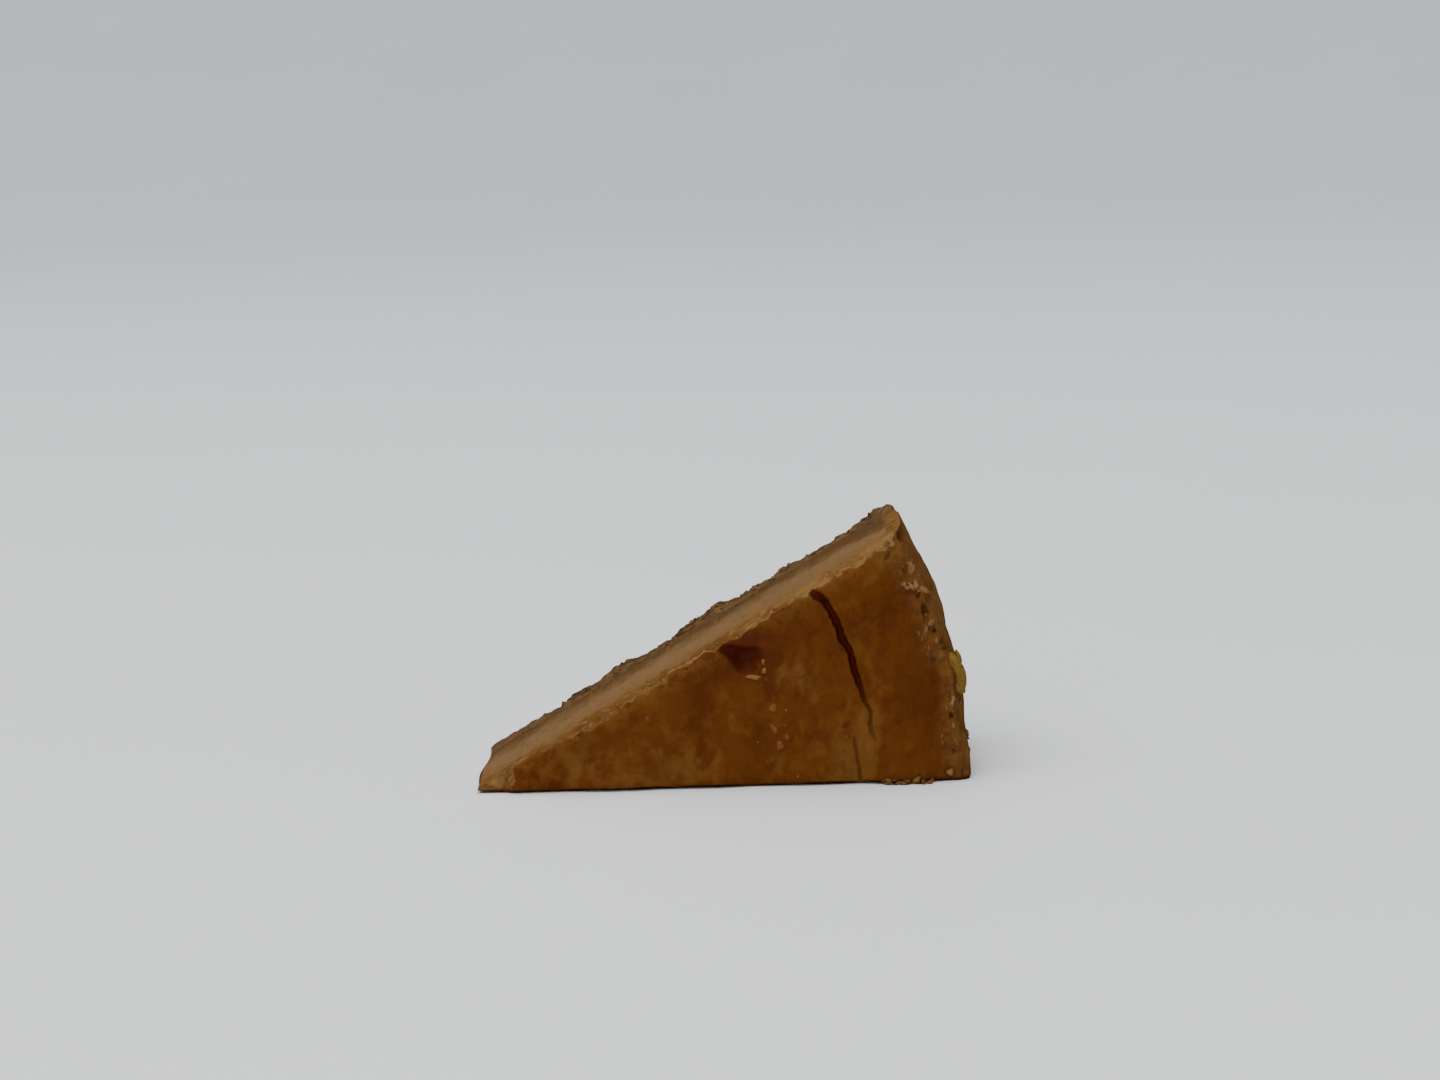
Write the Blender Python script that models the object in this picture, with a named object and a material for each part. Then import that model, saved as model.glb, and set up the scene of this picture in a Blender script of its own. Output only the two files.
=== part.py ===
# Date cheesecake: one slice, lying on one of its two cut sides.
# X runs from the slice's tip to its outer rim, Y from the browned top of the cake to its base, +Z is up.
# Two nodes: the cheese filling with its browned skin, and the dark date and biscuit base.
# Both start as a cube cut into a grid, whose three edges then become the slice's radius, angle and depth.

import bpy
import bmesh
import numpy as np
from math import cos, pi, radians, sin
from mathutils import Vector, noise

MM = 0.001

# Driving sizes
CAKE_RADIUS = 113.5 * MM
SLICE_ANGLE = radians(30.0)
CAKE_HEIGHT = 47.3 * MM
BASE_THICKNESS = 11.2 * MM
LAYER_GAP = 0.3 * MM

# The tip of the slice stands at the front bottom corner of the object's own frame, before this move
TIP_X = -58.1 * MM
TOP_Y = -22.9 * MM

# Form of the whole slice
TIP_BLUNT = 1.7 * MM
TIP_CRUMBLED = 11.0 * MM
SIDE_BULGE = 2.5 * MM
RIM_ROUNDING = 2.2 * MM
RIM_ROUNDING_DEPTH = 4.5 * MM
TORN_EDGE_DROP = 1.3 * MM
TORN_EDGE_DEPTH = 4.0 * MM
FLOOR_EDGE_LIFT = 0.9 * MM
FLOOR_EDGE_DEPTH = 2.2 * MM

# Grids: cells along the radius, the depth and the angle
FILLING_GRID = (60, 14, 18)
BASE_GRID = (46, 4, 12)

# Main crack: a curved split that follows the rim
CRACK_RADIUS = 92.3 * MM
CRACK_FROM = radians(29.8)
CRACK_TO = radians(6.0)
CRACK_WIDTH = 2.3 * MM
CRACK_DEPTH = 7.0 * MM

# Hairline crack below it
HAIRLINE_RADIUS = 89.4 * MM
HAIRLINE_FROM = radians(7.6)
HAIRLINE_TO = radians(1.2)
HAIRLINE_WIDTH = 1.0 * MM
HAIRLINE_DEPTH = 2.6 * MM

# Hollows in the browned top: place along X and Z from the tip, half width, half height, depth, turn
HOLLOWS = (
    ("bubble", 63.6, 31.0, 4.6, 3.3, 3.8, 14.0),
    ("rim_slit", 96.6, 52.4, 0.7, 2.0, 1.6, 24.0),
    ("rim_notch", 100.7, 48.9, 0.9, 1.6, 1.5, 10.0),
    ("flake_shadow", 103.4, 42.9, 2.0, 0.7, 1.6, -28.0),
    ("rim_pit", 104.9, 39.0, 1.0, 1.9, 2.4, -8.0),
    ("rim_dent", 107.4, 34.4, 1.1, 0.9, 1.5, 0.0),
    ("chunk_shadow", 108.8, 32.3, 1.6, 0.9, 1.8, -20.0),
    ("low_rim_pit", 112.0, 15.3, 0.9, 1.5, 1.8, 0.0),
    ("low_rim_dent", 110.3, 14.2, 0.8, 1.3, 1.4, 0.0),
    ("face_pit", 86.1, 13.5, 0.8, 0.8, 1.1, 0.0),
)

# Lumps that stand out of the rim, the tip and the bubble's lip: X, Z, depth, then three half sizes and a turn
LUMPS = (
    ("chunk", 112.1, 25.2, 3.2, 2.2, 5.0, 2.8, -12.0),
    ("chunk_foot", 112.4, 20.6, 3.0, 1.7, 1.9, 2.0, 0.0),
    ("apex_crumb", 96.4, 55.0, 0.9, 1.5, 0.9, 1.3, -28.0),
    ("rim_flake_high", 101.2, 53.2, 1.8, 1.2, 2.1, 1.5, 22.0),
    ("rim_flake_long", 103.0, 47.6, 1.0, 1.2, 2.4, 1.5, 24.0),
    ("rim_flake_left", 101.0, 45.5, 0.7, 1.1, 1.1, 1.0, 0.0),
    ("rim_flake_low", 104.4, 44.7, 0.9, 2.2, 0.8, 1.2, -30.0),
    ("rim_flake_pit", 106.3, 36.6, 0.9, 0.9, 1.4, 1.1, 20.0),
    ("rim_flake_chunk", 109.0, 30.4, 1.1, 1.6, 0.9, 1.2, 12.0),
    ("low_flake", 112.3, 11.9, 1.2, 1.2, 1.5, 1.2, 0.0),
    ("low_crumb", 109.4, 1.9, 0.5, 1.0, 0.9, 1.0, 0.0),
    ("bubble_lip", 65.2, 26.9, 0.3, 2.0, 0.6, 0.8, 4.0),
    ("tip_flake", 10.2, 3.4, 0.4, 0.7, 1.5, 0.9, 24.0),
    ("foot_crumb_left", 95.6, 0.9, -0.2, 1.6, 0.8, 1.2, 0.0),
    ("foot_crumb_middle", 99.4, 0.9, -0.5, 2.4, 0.8, 1.3, 0.0),
    ("foot_crumb_right", 103.8, 0.9, -0.3, 1.9, 0.8, 1.2, 0.0),
)


def blend(value, start, end):
    """Smooth step from 0 at start to 1 at end."""
    share = np.clip((value - start) / (end - start), 0.0, 1.0)
    return share * share * (3.0 - 2.0 * share)


def rough(x, y, z, grain, seed):
    """Smooth noise between about -1 and 1, with bumps about one grain wide."""
    shift = 17.3 * seed
    points = np.stack([x, y, z], axis=1) / grain + shift
    return np.array([noise.noise(Vector(point)) for point in points]) * 1.6


def layer_line(radius, angle):
    """Depth of the join between the filling and the base, which waves a little."""
    wave = 0.5 * np.sin(radius / (6.1 * MM) + 0.7) + 0.3 * np.sin(radius / (2.9 * MM) - 3.0 * angle)
    return CAKE_HEIGHT - BASE_THICKNESS + wave * MM


def browned_face(radius, angle):
    """Depth of the browned top: broad swells, a raised ring outside the crack, a broken tip and a worn rim."""
    x = radius * np.cos(angle)
    z = radius * np.sin(angle)
    swell = 0.40 * np.sin(x / (9.7 * MM) + z / (14.3 * MM) + 0.6)
    swell += 0.25 * np.sin(x / (3.7 * MM) - z / (4.9 * MM) + 1.9)
    swell += 0.15 * np.sin(z / (2.7 * MM) + x / (6.4 * MM))
    ring = blend(radius, CRACK_RADIUS, CRACK_RADIUS + 4 * MM) * blend(radius, 107 * MM, 101 * MM)
    broken_tip = 1.3 * blend(radius, TIP_CRUMBLED, TIP_CRUMBLED - 3 * MM)
    worn_rim = 1.1 * blend(radius, 105 * MM, 110 * MM)
    return (swell - 0.6 * ring + broken_tip + worn_rim) * MM


def outer_radius(angle, depth):
    """The side of the cake: a soft barrel, rounded over where it meets the browned top."""
    fullness = 0.55 + 0.45 * blend(angle, 0.0, SLICE_ANGLE)
    barrel = SIDE_BULGE * fullness * np.sin(pi * np.clip(depth / CAKE_HEIGHT, 0.0, 1.0) ** 0.75)
    rounding = RIM_ROUNDING * blend(depth, RIM_ROUNDING_DEPTH, 0.0) ** 2
    wobble = 0.35 * MM * np.sin(angle * 31.0 + depth / (7.0 * MM))
    return CAKE_RADIUS + barrel - rounding + wobble


def tip_radius(depth):
    """How far the tip is worn back from the sharp point."""
    return TIP_BLUNT + 0.5 * MM * np.sin(depth / (5.3 * MM) + 1.0)


def torn_drop(radius, depth):
    """How far the upper cut side sinks towards the browned top, where the knife tore the skin."""
    ragged = 1.0 + 0.45 * rough(radius, depth * 0.0, depth * 0.0, 5.2 * MM, 5)
    near_top = blend(depth, TORN_EDGE_DEPTH, 0.0)
    tip_share = blend(radius, 0.0, 14 * MM)
    return TORN_EDGE_DROP * ragged * near_top * tip_share


def floor_lift(radius, depth):
    """How far the lower cut side rises at its front edge and under the tip."""
    near_top = blend(depth, FLOOR_EDGE_DEPTH, 0.0) ** 2
    under_tip = 0.6 * MM * blend(radius, 12 * MM, 4 * MM) * blend(depth, 9 * MM, 3 * MM)
    return FLOOR_EDGE_LIFT * near_top * blend(radius, 1 * MM, 16 * MM) + under_tip


def grid_cube(name, cells):
    """A cube from 0 to 1, cut into a grid of cells along each of its three directions."""
    bpy.ops.mesh.primitive_cube_add(size=1.0)
    piece = bpy.context.object
    piece.name = name
    piece.data.name = name
    mesh = bmesh.new()
    mesh.from_mesh(piece.data)
    bmesh.ops.translate(mesh, verts=mesh.verts, vec=(0.5, 0.5, 0.5))
    for axis, count in enumerate(cells):
        along = [edge for edge in mesh.edges if abs((edge.verts[0].co - edge.verts[1].co)[axis]) > 0.5]
        bmesh.ops.subdivide_edges(mesh, edges=along, cuts=count - 1, use_grid_fill=True)
    mesh.to_mesh(piece.data)
    mesh.free()
    return piece


def read_points(piece):
    """The piece's vertices as three arrays."""
    flat = np.empty(len(piece.data.vertices) * 3)
    piece.data.vertices.foreach_get("co", flat)
    return flat.reshape(-1, 3).T


def write_points(piece, x, y, z):
    """Puts three arrays back as the piece's vertices, and turns its faces outwards."""
    piece.data.vertices.foreach_set("co", np.stack([x, y, z], axis=1).ravel())
    mesh = bmesh.new()
    mesh.from_mesh(piece.data)
    bmesh.ops.recalc_face_normals(mesh, faces=mesh.faces)
    mesh.to_mesh(piece.data)
    mesh.free()
    piece.data.update()


def shape_slice(piece, first_face, last_face, grain, crumb, tip_share):
    """Turns a grid cube into one layer of the slice, from depth first_face to last_face.

    The cube's X becomes the radius, its Y the depth and its Z the angle. Crumbs roughen every
    surface but the one that the slice rests on.
    """
    along, across, up = read_points(piece)
    angle = up * SLICE_ANGLE
    radius = TIP_BLUNT + along * (CAKE_RADIUS - TIP_BLUNT)
    front = first_face(radius, angle)
    back = last_face(radius, angle)
    depth = front + across * (back - front)
    inner = tip_radius(depth)
    radius = inner + along * (outer_radius(angle, depth) - inner)
    height = radius * SLICE_ANGLE
    low = np.minimum(floor_lift(radius, depth), 0.3 * height)
    high = np.maximum(height - torn_drop(radius, depth), 0.7 * height)
    x = radius * np.cos(angle)
    z = radius * np.sin(angle)
    bumps = rough(x, depth, z, grain, 1) * crumb
    on_cut = up > 0.999
    on_rim = along > 0.999
    on_tip = along < 0.001
    high = high + np.where(on_cut, bumps, 0.0) * blend(radius, 4 * MM, 16 * MM)
    angle = (low + up * (high - low)) / radius
    radius = radius + np.where(on_rim, bumps, 0.0) + np.where(on_tip, bumps * tip_share, 0.0)
    x = radius * np.cos(angle)
    z = radius * np.sin(angle)
    write_points(piece, x, depth, np.where(up < 0.001, low, z))


def browned_layer_front(radius, angle):
    """Front of the filling: the browned top with its small bumps."""
    x = radius * np.cos(angle)
    z = radius * np.sin(angle)
    small = rough(x, z, z * 0.0, 4.5 * MM, 2) * 0.30 * MM
    worn = rough(x, z, z * 0.0, 2.6 * MM, 3) * 0.7 * MM * blend(radius, 104 * MM, 110 * MM)
    return browned_face(radius, angle) + small + worn


def filling_back(radius, angle):
    """Back of the filling, against the base."""
    return layer_line(radius, angle) - LAYER_GAP / 2


def base_front(radius, angle):
    """Front of the base, against the filling."""
    return layer_line(radius, angle) + LAYER_GAP / 2


def base_back(radius, angle):
    """Underside of the cake: the pressed crumbs that stood on the tin."""
    x = radius * np.cos(angle)
    z = radius * np.sin(angle)
    return CAKE_HEIGHT + rough(x, z, z * 0.0, 4.0 * MM, 4) * 0.35 * MM


def plain_material(name, colour, roughness):
    """A Principled material of one colour."""
    material = bpy.data.materials.new(name)
    material.use_nodes = True
    shader = material.node_tree.nodes["Principled BSDF"]
    shader.inputs["Base Color"].default_value = (*colour, 1.0)
    shader.inputs["Roughness"].default_value = roughness
    shader.inputs["Metallic"].default_value = 0.0
    return material


def move_to(piece, collection):
    """Keeps a piece in one collection alone."""
    for holder in list(piece.users_collection):
        holder.objects.unlink(piece)
    collection.objects.link(piece)


def new_collection(name):
    """A collection under the scene's own."""
    collection = bpy.data.collections.new(name)
    bpy.context.scene.collection.children.link(collection)
    return collection


def crack_cutter(name, radius, start, end, width, deepest):
    """A bent wedge that opens a crack: widest near its start, and closing towards its end."""
    piece = grid_cube(name, (26, 1, 2))
    share, across, side = read_points(piece)
    angle = start + share * (end - start)
    opening = width * (0.24 + 0.76 * np.sin(pi * np.clip(share * 0.72 + 0.28, 0.0, 1.0)) ** 1.2)
    bottom = deepest * (0.3 + 0.7 * np.sin(pi * np.clip(share * 0.8 + 0.15, 0.0, 1.0)))
    depth = np.where(across < 0.5, -3.0 * MM, bottom)
    opening = opening * np.where(across < 0.5, 1.25, 0.35)
    wander = 0.15 * width * np.sin(share * 13.0) + 0.08 * width * np.sin(share * 31.0 + 1.0)
    middle = radius + wander + (side - 0.5) * opening
    write_points(piece, middle * np.cos(angle), depth, middle * np.sin(angle))
    return piece


def face_ball(name, x, z, depth, half_x, half_z, half_depth, turn, detail, seed):
    """An uneven ball on the browned top, with half sizes along X, Z and the depth, turned in the face."""
    bpy.ops.mesh.primitive_ico_sphere_add(subdivisions=detail, radius=1.0)
    piece = bpy.context.object
    piece.name = name
    across, deep, up = read_points(piece)
    uneven = 1.0 + 0.28 * rough(across, deep, up, 0.8, seed)
    across = across * uneven * half_x
    deep = deep * uneven * half_depth
    up = up * uneven * half_z
    turned = radians(turn)
    face_x = across * cos(turned) + up * sin(turned)
    face_z = up * cos(turned) - across * sin(turned)
    write_points(piece, x + face_x, depth + deep, np.maximum(z + face_z, 0.0))
    return piece


def add_boolean(piece, name, operation, collection):
    """A Boolean with a whole collection."""
    modifier = piece.modifiers.new(name, "BOOLEAN")
    modifier.operation = operation
    modifier.operand_type = "COLLECTION"
    modifier.collection = collection
    return modifier


def place(piece):
    """Moves a piece from the slice's tip to the object's frame."""
    piece.location = (TIP_X, TOP_Y, 0.0)


def make_lumps(collection):
    """Crumbs and torn flakes of the skin that stand out of the filling."""
    for number, (name, x, z, depth, half_x, half_z, half_depth, turn) in enumerate(LUMPS):
        sizes = (half_x * MM, half_z * MM, half_depth * MM)
        detail = 3 if half_z > 4 else 2
        lump = face_ball(name, x * MM, z * MM, depth * MM, *sizes, turn, detail, 10 + number)
        place(lump)
        move_to(lump, collection)


def make_hollows(collection):
    """The bubble, slits and pits, and the two cracks."""
    for number, (name, x, z, half_x, half_z, deep, turn) in enumerate(HOLLOWS):
        sizes = (half_x * MM, half_z * MM, deep * MM)
        detail = 3 if half_x > 3 else 2
        hollow = face_ball(name, x * MM, z * MM, 0.0, *sizes, turn, detail, 40 + number)
        place(hollow)
        move_to(hollow, collection)
    cracks = (
        crack_cutter("crack", CRACK_RADIUS, CRACK_FROM, CRACK_TO, CRACK_WIDTH, CRACK_DEPTH),
        crack_cutter("hairline", HAIRLINE_RADIUS, HAIRLINE_FROM, HAIRLINE_TO, HAIRLINE_WIDTH, HAIRLINE_DEPTH),
    )
    for crack in cracks:
        place(crack)
        move_to(crack, collection)
    for cutter in collection.objects:
        cutter.hide_render = True
        cutter.display_type = "WIRE"


def make_filling(collection, cutters):
    """The cheese filling with its browned top and side, its lumps joined on and its hollows cut."""
    filling = grid_cube("cheese_filling", FILLING_GRID)
    shape_slice(filling, browned_layer_front, filling_back, 3.4 * MM, 0.28 * MM, 1.2)
    filling.data.materials.append(plain_material("browned_cheese", (0.215, 0.095, 0.016), 0.5))
    place(filling)
    move_to(filling, collection)
    lumps = new_collection("lumps")
    make_lumps(lumps)
    bpy.context.view_layer.update()
    join = add_boolean(filling, "join_lumps", "UNION", lumps)
    with bpy.context.temp_override(object=filling):
        bpy.ops.object.modifier_apply(modifier=join.name)
    for lump in list(lumps.objects):
        bpy.data.objects.remove(lump, do_unlink=True)
    bpy.data.collections.remove(lumps)
    add_boolean(filling, "cut_hollows", "DIFFERENCE", cutters)
    return filling


def make_base(collection):
    """The dark base of dates and biscuit crumbs, rough where it was cut and at the rim."""
    base = grid_cube("date_biscuit_base", BASE_GRID)
    shape_slice(base, base_front, base_back, 3.6 * MM, 0.75 * MM, 1.0)
    base.data.materials.append(plain_material("date_biscuit", (0.13, 0.07, 0.03), 0.75))
    place(base)
    move_to(base, collection)
    return base


def main():
    """Clears the scene and builds the slice."""
    for leftover in list(bpy.data.objects):
        bpy.data.objects.remove(leftover, do_unlink=True)
    slice_parts = new_collection("date_cheesecake")
    cutters = new_collection("cutters")
    make_hollows(cutters)
    make_filling(slice_parts, cutters)
    make_base(slice_parts)
    bpy.context.view_layer.update()


main()
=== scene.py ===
# Date cheesecake: the looks of one baked slice that lies on a cut side.
# Its front is the browned top of the cake, its back the dark base of dates and biscuit crumbs.
# A place on the slice is its radius and angle from the tip, and its depth behind the browned top.
# Shapes are worked out in millimetres and become metres when they are put into a mesh.

from itertools import product
from math import cos, pi, radians, sin
from types import SimpleNamespace

import bmesh
import bpy
import numpy as np
from bpy.props import FloatProperty, FloatVectorProperty, IntProperty, PointerProperty
from mathutils import Matrix, Vector


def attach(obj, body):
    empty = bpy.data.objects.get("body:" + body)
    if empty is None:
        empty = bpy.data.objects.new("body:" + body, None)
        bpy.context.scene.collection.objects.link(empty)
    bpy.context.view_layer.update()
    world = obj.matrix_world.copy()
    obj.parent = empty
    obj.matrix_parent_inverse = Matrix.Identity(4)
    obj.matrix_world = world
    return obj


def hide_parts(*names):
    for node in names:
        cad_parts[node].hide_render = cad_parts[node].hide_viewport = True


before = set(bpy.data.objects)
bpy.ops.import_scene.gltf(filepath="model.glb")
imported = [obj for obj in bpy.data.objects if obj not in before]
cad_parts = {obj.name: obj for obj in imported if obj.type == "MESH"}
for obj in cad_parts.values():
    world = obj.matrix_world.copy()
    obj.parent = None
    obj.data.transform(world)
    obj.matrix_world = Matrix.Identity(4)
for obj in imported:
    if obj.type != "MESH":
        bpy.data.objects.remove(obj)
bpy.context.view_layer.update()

bl_info = {
    "name": "Date cheesecake slice",
    "version": (1, 0, 0),
    "blender": (4, 5, 0),
    "location": "3D View > Sidebar > Cheesecake",
    "description": "Dresses a slice of date cheesecake: browned filling, crumb base, flakes and crumbs",
    "category": "Object",
}

MM = 0.001

# The slice's driving sizes in millimetres, which the frame's solids have too
CAKE_RADIUS = 113.5
SLICE_ANGLE = radians(30.0)
CAKE_HEIGHT = 47.3
BASE_THICKNESS = 11.2
FILLING_DEPTH = CAKE_HEIGHT - BASE_THICKNESS
TIP_X = -58.1
TOP_Y = -22.9
TIP_BLUNT = 1.7
TIP_CRUMBLED = 11.0
SIDE_BULGE = 2.5
RIM_ROUNDING = 2.2
RIM_ROUNDING_DEPTH = 4.5
FLOOR_EDGE_LIFT = 0.9
FLOOR_EDGE_DEPTH = 2.2
TORN_EDGE_DEPTH = 4.0

# Between these distances from the tip, in millimetres, the rim becomes worn
RIM_WORN = (105.0, 110.0)

# How deep below the filling's and the base's surfaces their fine relief fades out, in millimetres
FILLING_RELIEF_DEPTH = 3.0
BASE_RELIEF_DEPTH = 2.0

# The two cracks in the browned top, each from its lower end up: X, Z, half width and depth in millimetres
CRACK = (
    (93.1, 9.4, 0, 0.2), (92.6, 10.9, 0.45, 0.3), (92, 12.5, 0.75, 0.5), (91.8, 14.1, 0.56, 0.6),
    (92, 16.1, 0.42, 0.6), (91.8, 17.5, 0.46, 0.8), (90.7, 19.2, 0.56, 0.9), (90, 21.7, 0.56, 1.5),
    (89.4, 23.6, 0.77, 2.3), (89.2, 24.4, 0.78, 2.6), (88.6, 26.2, 0.82, 2.7), (88.2, 28.1, 0.8, 2.7),
    (87.9, 29.9, 0.74, 2.8), (87.4, 31.5, 0.82, 2.8), (86.1, 33.4, 1.16, 3), (85.7, 34.6, 0.92, 3),
    (85.3, 36.4, 0.86, 2.8), (84.4, 38.4, 0.98, 2.8), (83.6, 40.3, 0.9, 2.7), (82.6, 41.8, 0.88, 2.4),
    (81.8, 42.7, 1.46, 1.7), (80.8, 43.7, 1.68, 1.1), (80.1, 44.6, 1.18, 0.7), (79.8, 45.3, 0, 0.4),
)
HAIRLINE = (
    (89.2, 0, 0.6, 0.6), (89.2, 2, 0.48, 0.5), (89.1, 3.8, 0.42, 0.4), (88.8, 5.7, 0.42, 0.4),
    (88.5, 7.5, 0.45, 0.4), (88.2, 9.4, 0.52, 0.4), (88.1, 10.9, 0.45, 0.3), (88, 11.8, 0, 0.2),
)

# The burst bubble and the crack's broken upper end: X, Z, half width and half height in
# millimetres, turn in degrees. The bubble's corners stand out by a share, turned by an angle.
BUBBLE = (63.6, 30.1, 4.7, 3.3, 20.0)
BUBBLE_DEPTH = 3.0
BUBBLE_CORNERS = (0.2, -2.6)
CRACK_HEAD = (81.0, 43.5, 2.4, 1.3, 35.0)

# Marks on the browned top: X, Z, half width, half height in millimetres, turn in degrees,
# depth in millimetres, and tone from -1, dark, to 1, pale. The pale raised mark at the apex
# corner, at X 96.9, is a painted highlight.
MARKS = (
    (96.6, 52.1, 0.5, 1.6, 24, 0.5, -0.55), (96.9, 55.3, 1.5, 1, 20, -0.8, 1),
    (98.6, 56.3, 0.9, 0.8, 30, -0.4, 0.8), (100.6, 54.2, 0.8, 1.4, 8, -0.4, 0.8),
    (101.9, 49.3, 0.75, 1.7, 6, -0.6, 1), (100.9, 45.4, 1.2, 0.7, 12, -0.6, 0.9),
    (102.9, 45.4, 0.6, 1.2, -14, -0.6, 1), (104.6, 44.2, 1.1, 0.55, 24, -0.5, 0.8),
    (103.4, 42.9, 0.4, 1, 22, 0.6, -0.7), (101.8, 43.7, 1.5, 0.35, 8, 0.5, -0.6),
    (104.8, 39.1, 0.9, 2, -14, 1.3, -0.9), (106, 36.8, 0.6, 0.95, 10, -0.5, 0.8),
    (105, 35.2, 0.45, 0.9, 20, -0.4, 0.6), (106.8, 34.7, 0.5, 0.6, 0, 0.8, -0.7),
    (107.2, 32.6, 0.55, 0.8, 0, -0.4, 0.6), (108.7, 32.4, 0.8, 0.7, 0, 0.9, -0.8),
    (108.9, 30.5, 1.1, 0.3, 4, 0.7, -0.8), (108.4, 29, 0.9, 0.9, 0, -0.5, 0.4),
    (110.3, 25, 1.4, 3.2, -16, -0.9, 0.2), (110.9, 18.4, 0.8, 1.2, 0, -0.4, 1),
    (110.2, 15.2, 0.55, 1, 0, 0.9, -0.9), (112.3, 15.4, 0.55, 1.6, 0, 0.7, -0.6),
    (110.6, 13, 0.55, 0.9, 0, -0.4, 0.5), (110.8, 9.3, 0.6, 0.8, 0, -0.3, 0.4),
    (110.6, 6.9, 0.55, 0.6, 0, 0.5, -0.6), (109.5, 1.9, 1.5, 1.4, 0, 0.4, -0.6),
    (112.9, 2, 0.9, 1.6, 0, 0.5, -0.8), (86.2, 13.8, 0.95, 0.75, 0, 0.4, -0.7),
    (78.9, 31.5, 1, 1.6, -20, 0.3, -0.6), (80.3, 35.6, 0.9, 0.7, 0, 0.3, -0.55),
    (70, 18.4, 0.9, 1.2, 28, -0.3, 0.48), (70, 13.6, 0.7, 1.8, -32, -0.3, 0.5),
    (71.3, 9.5, 0.95, 1.2, 0, -0.3, 0.5), (72.9, 11.5, 0.65, 1, -20, -0.25, 0.45),
    (71.7, 8, 0.45, 0.4, 0, 0.2, -0.5), (72.4, 14.2, 0.5, 0.5, 0, -0.2, 0.35),
    (68.6, 25, 0.8, 0.5, 30, -0.2, 0.35), (66.9, 24, 0.45, 0.45, 0, 0.3, -0.5),
    (25.6, 12.8, 0.5, 0.9, 0, -0.2, 0.35), (16.6, 4.6, 0.7, 0.8, 0, -0.2, 0.25),
    (15, 2.4, 0.5, 0.9, 0, -0.2, 0.3), (10.4, 3, 0.7, 1.6, 24, -0.3, 0.6),
    (6.5, 2.2, 1.6, 1, 24, -0.2, 0.5), (3.6, 0.9, 1, 0.6, 0, -0.1, 0.45),
    (8.4, 1.2, 0.8, 0.7, 0, 0.3, -0.45), (31.6, 7.8, 2.6, 0.7, 4, 0.15, -0.45),
    (28.2, 7.2, 0.9, 0.8, 0, 0.2, -0.65), (41.6, 16.5, 0.8, 0.9, 0, -0.1, 0.35),
    (75.6, 25.8, 1.4, 0.4, 0, -0.15, 0.3), (72.4, 25.9, 0.4, 0.45, 0, -0.15, 0.35),
    (79.6, 24.8, 0.6, 0.45, 0, 0.2, -0.5), (73.6, 10.6, 0.55, 0.4, 0, 0.2, -0.45),
    (95, 8.6, 0.8, 0.45, 0, 0.2, -0.5), (100, 9.6, 1.5, 0.35, 4, -0.15, 0.3),
    (86.3, 11.4, 0.5, 1, 0, -0.15, 0.35), (91.3, 8.6, 0.5, 1.4, -10, -0.15, 0.3),
)
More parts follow.
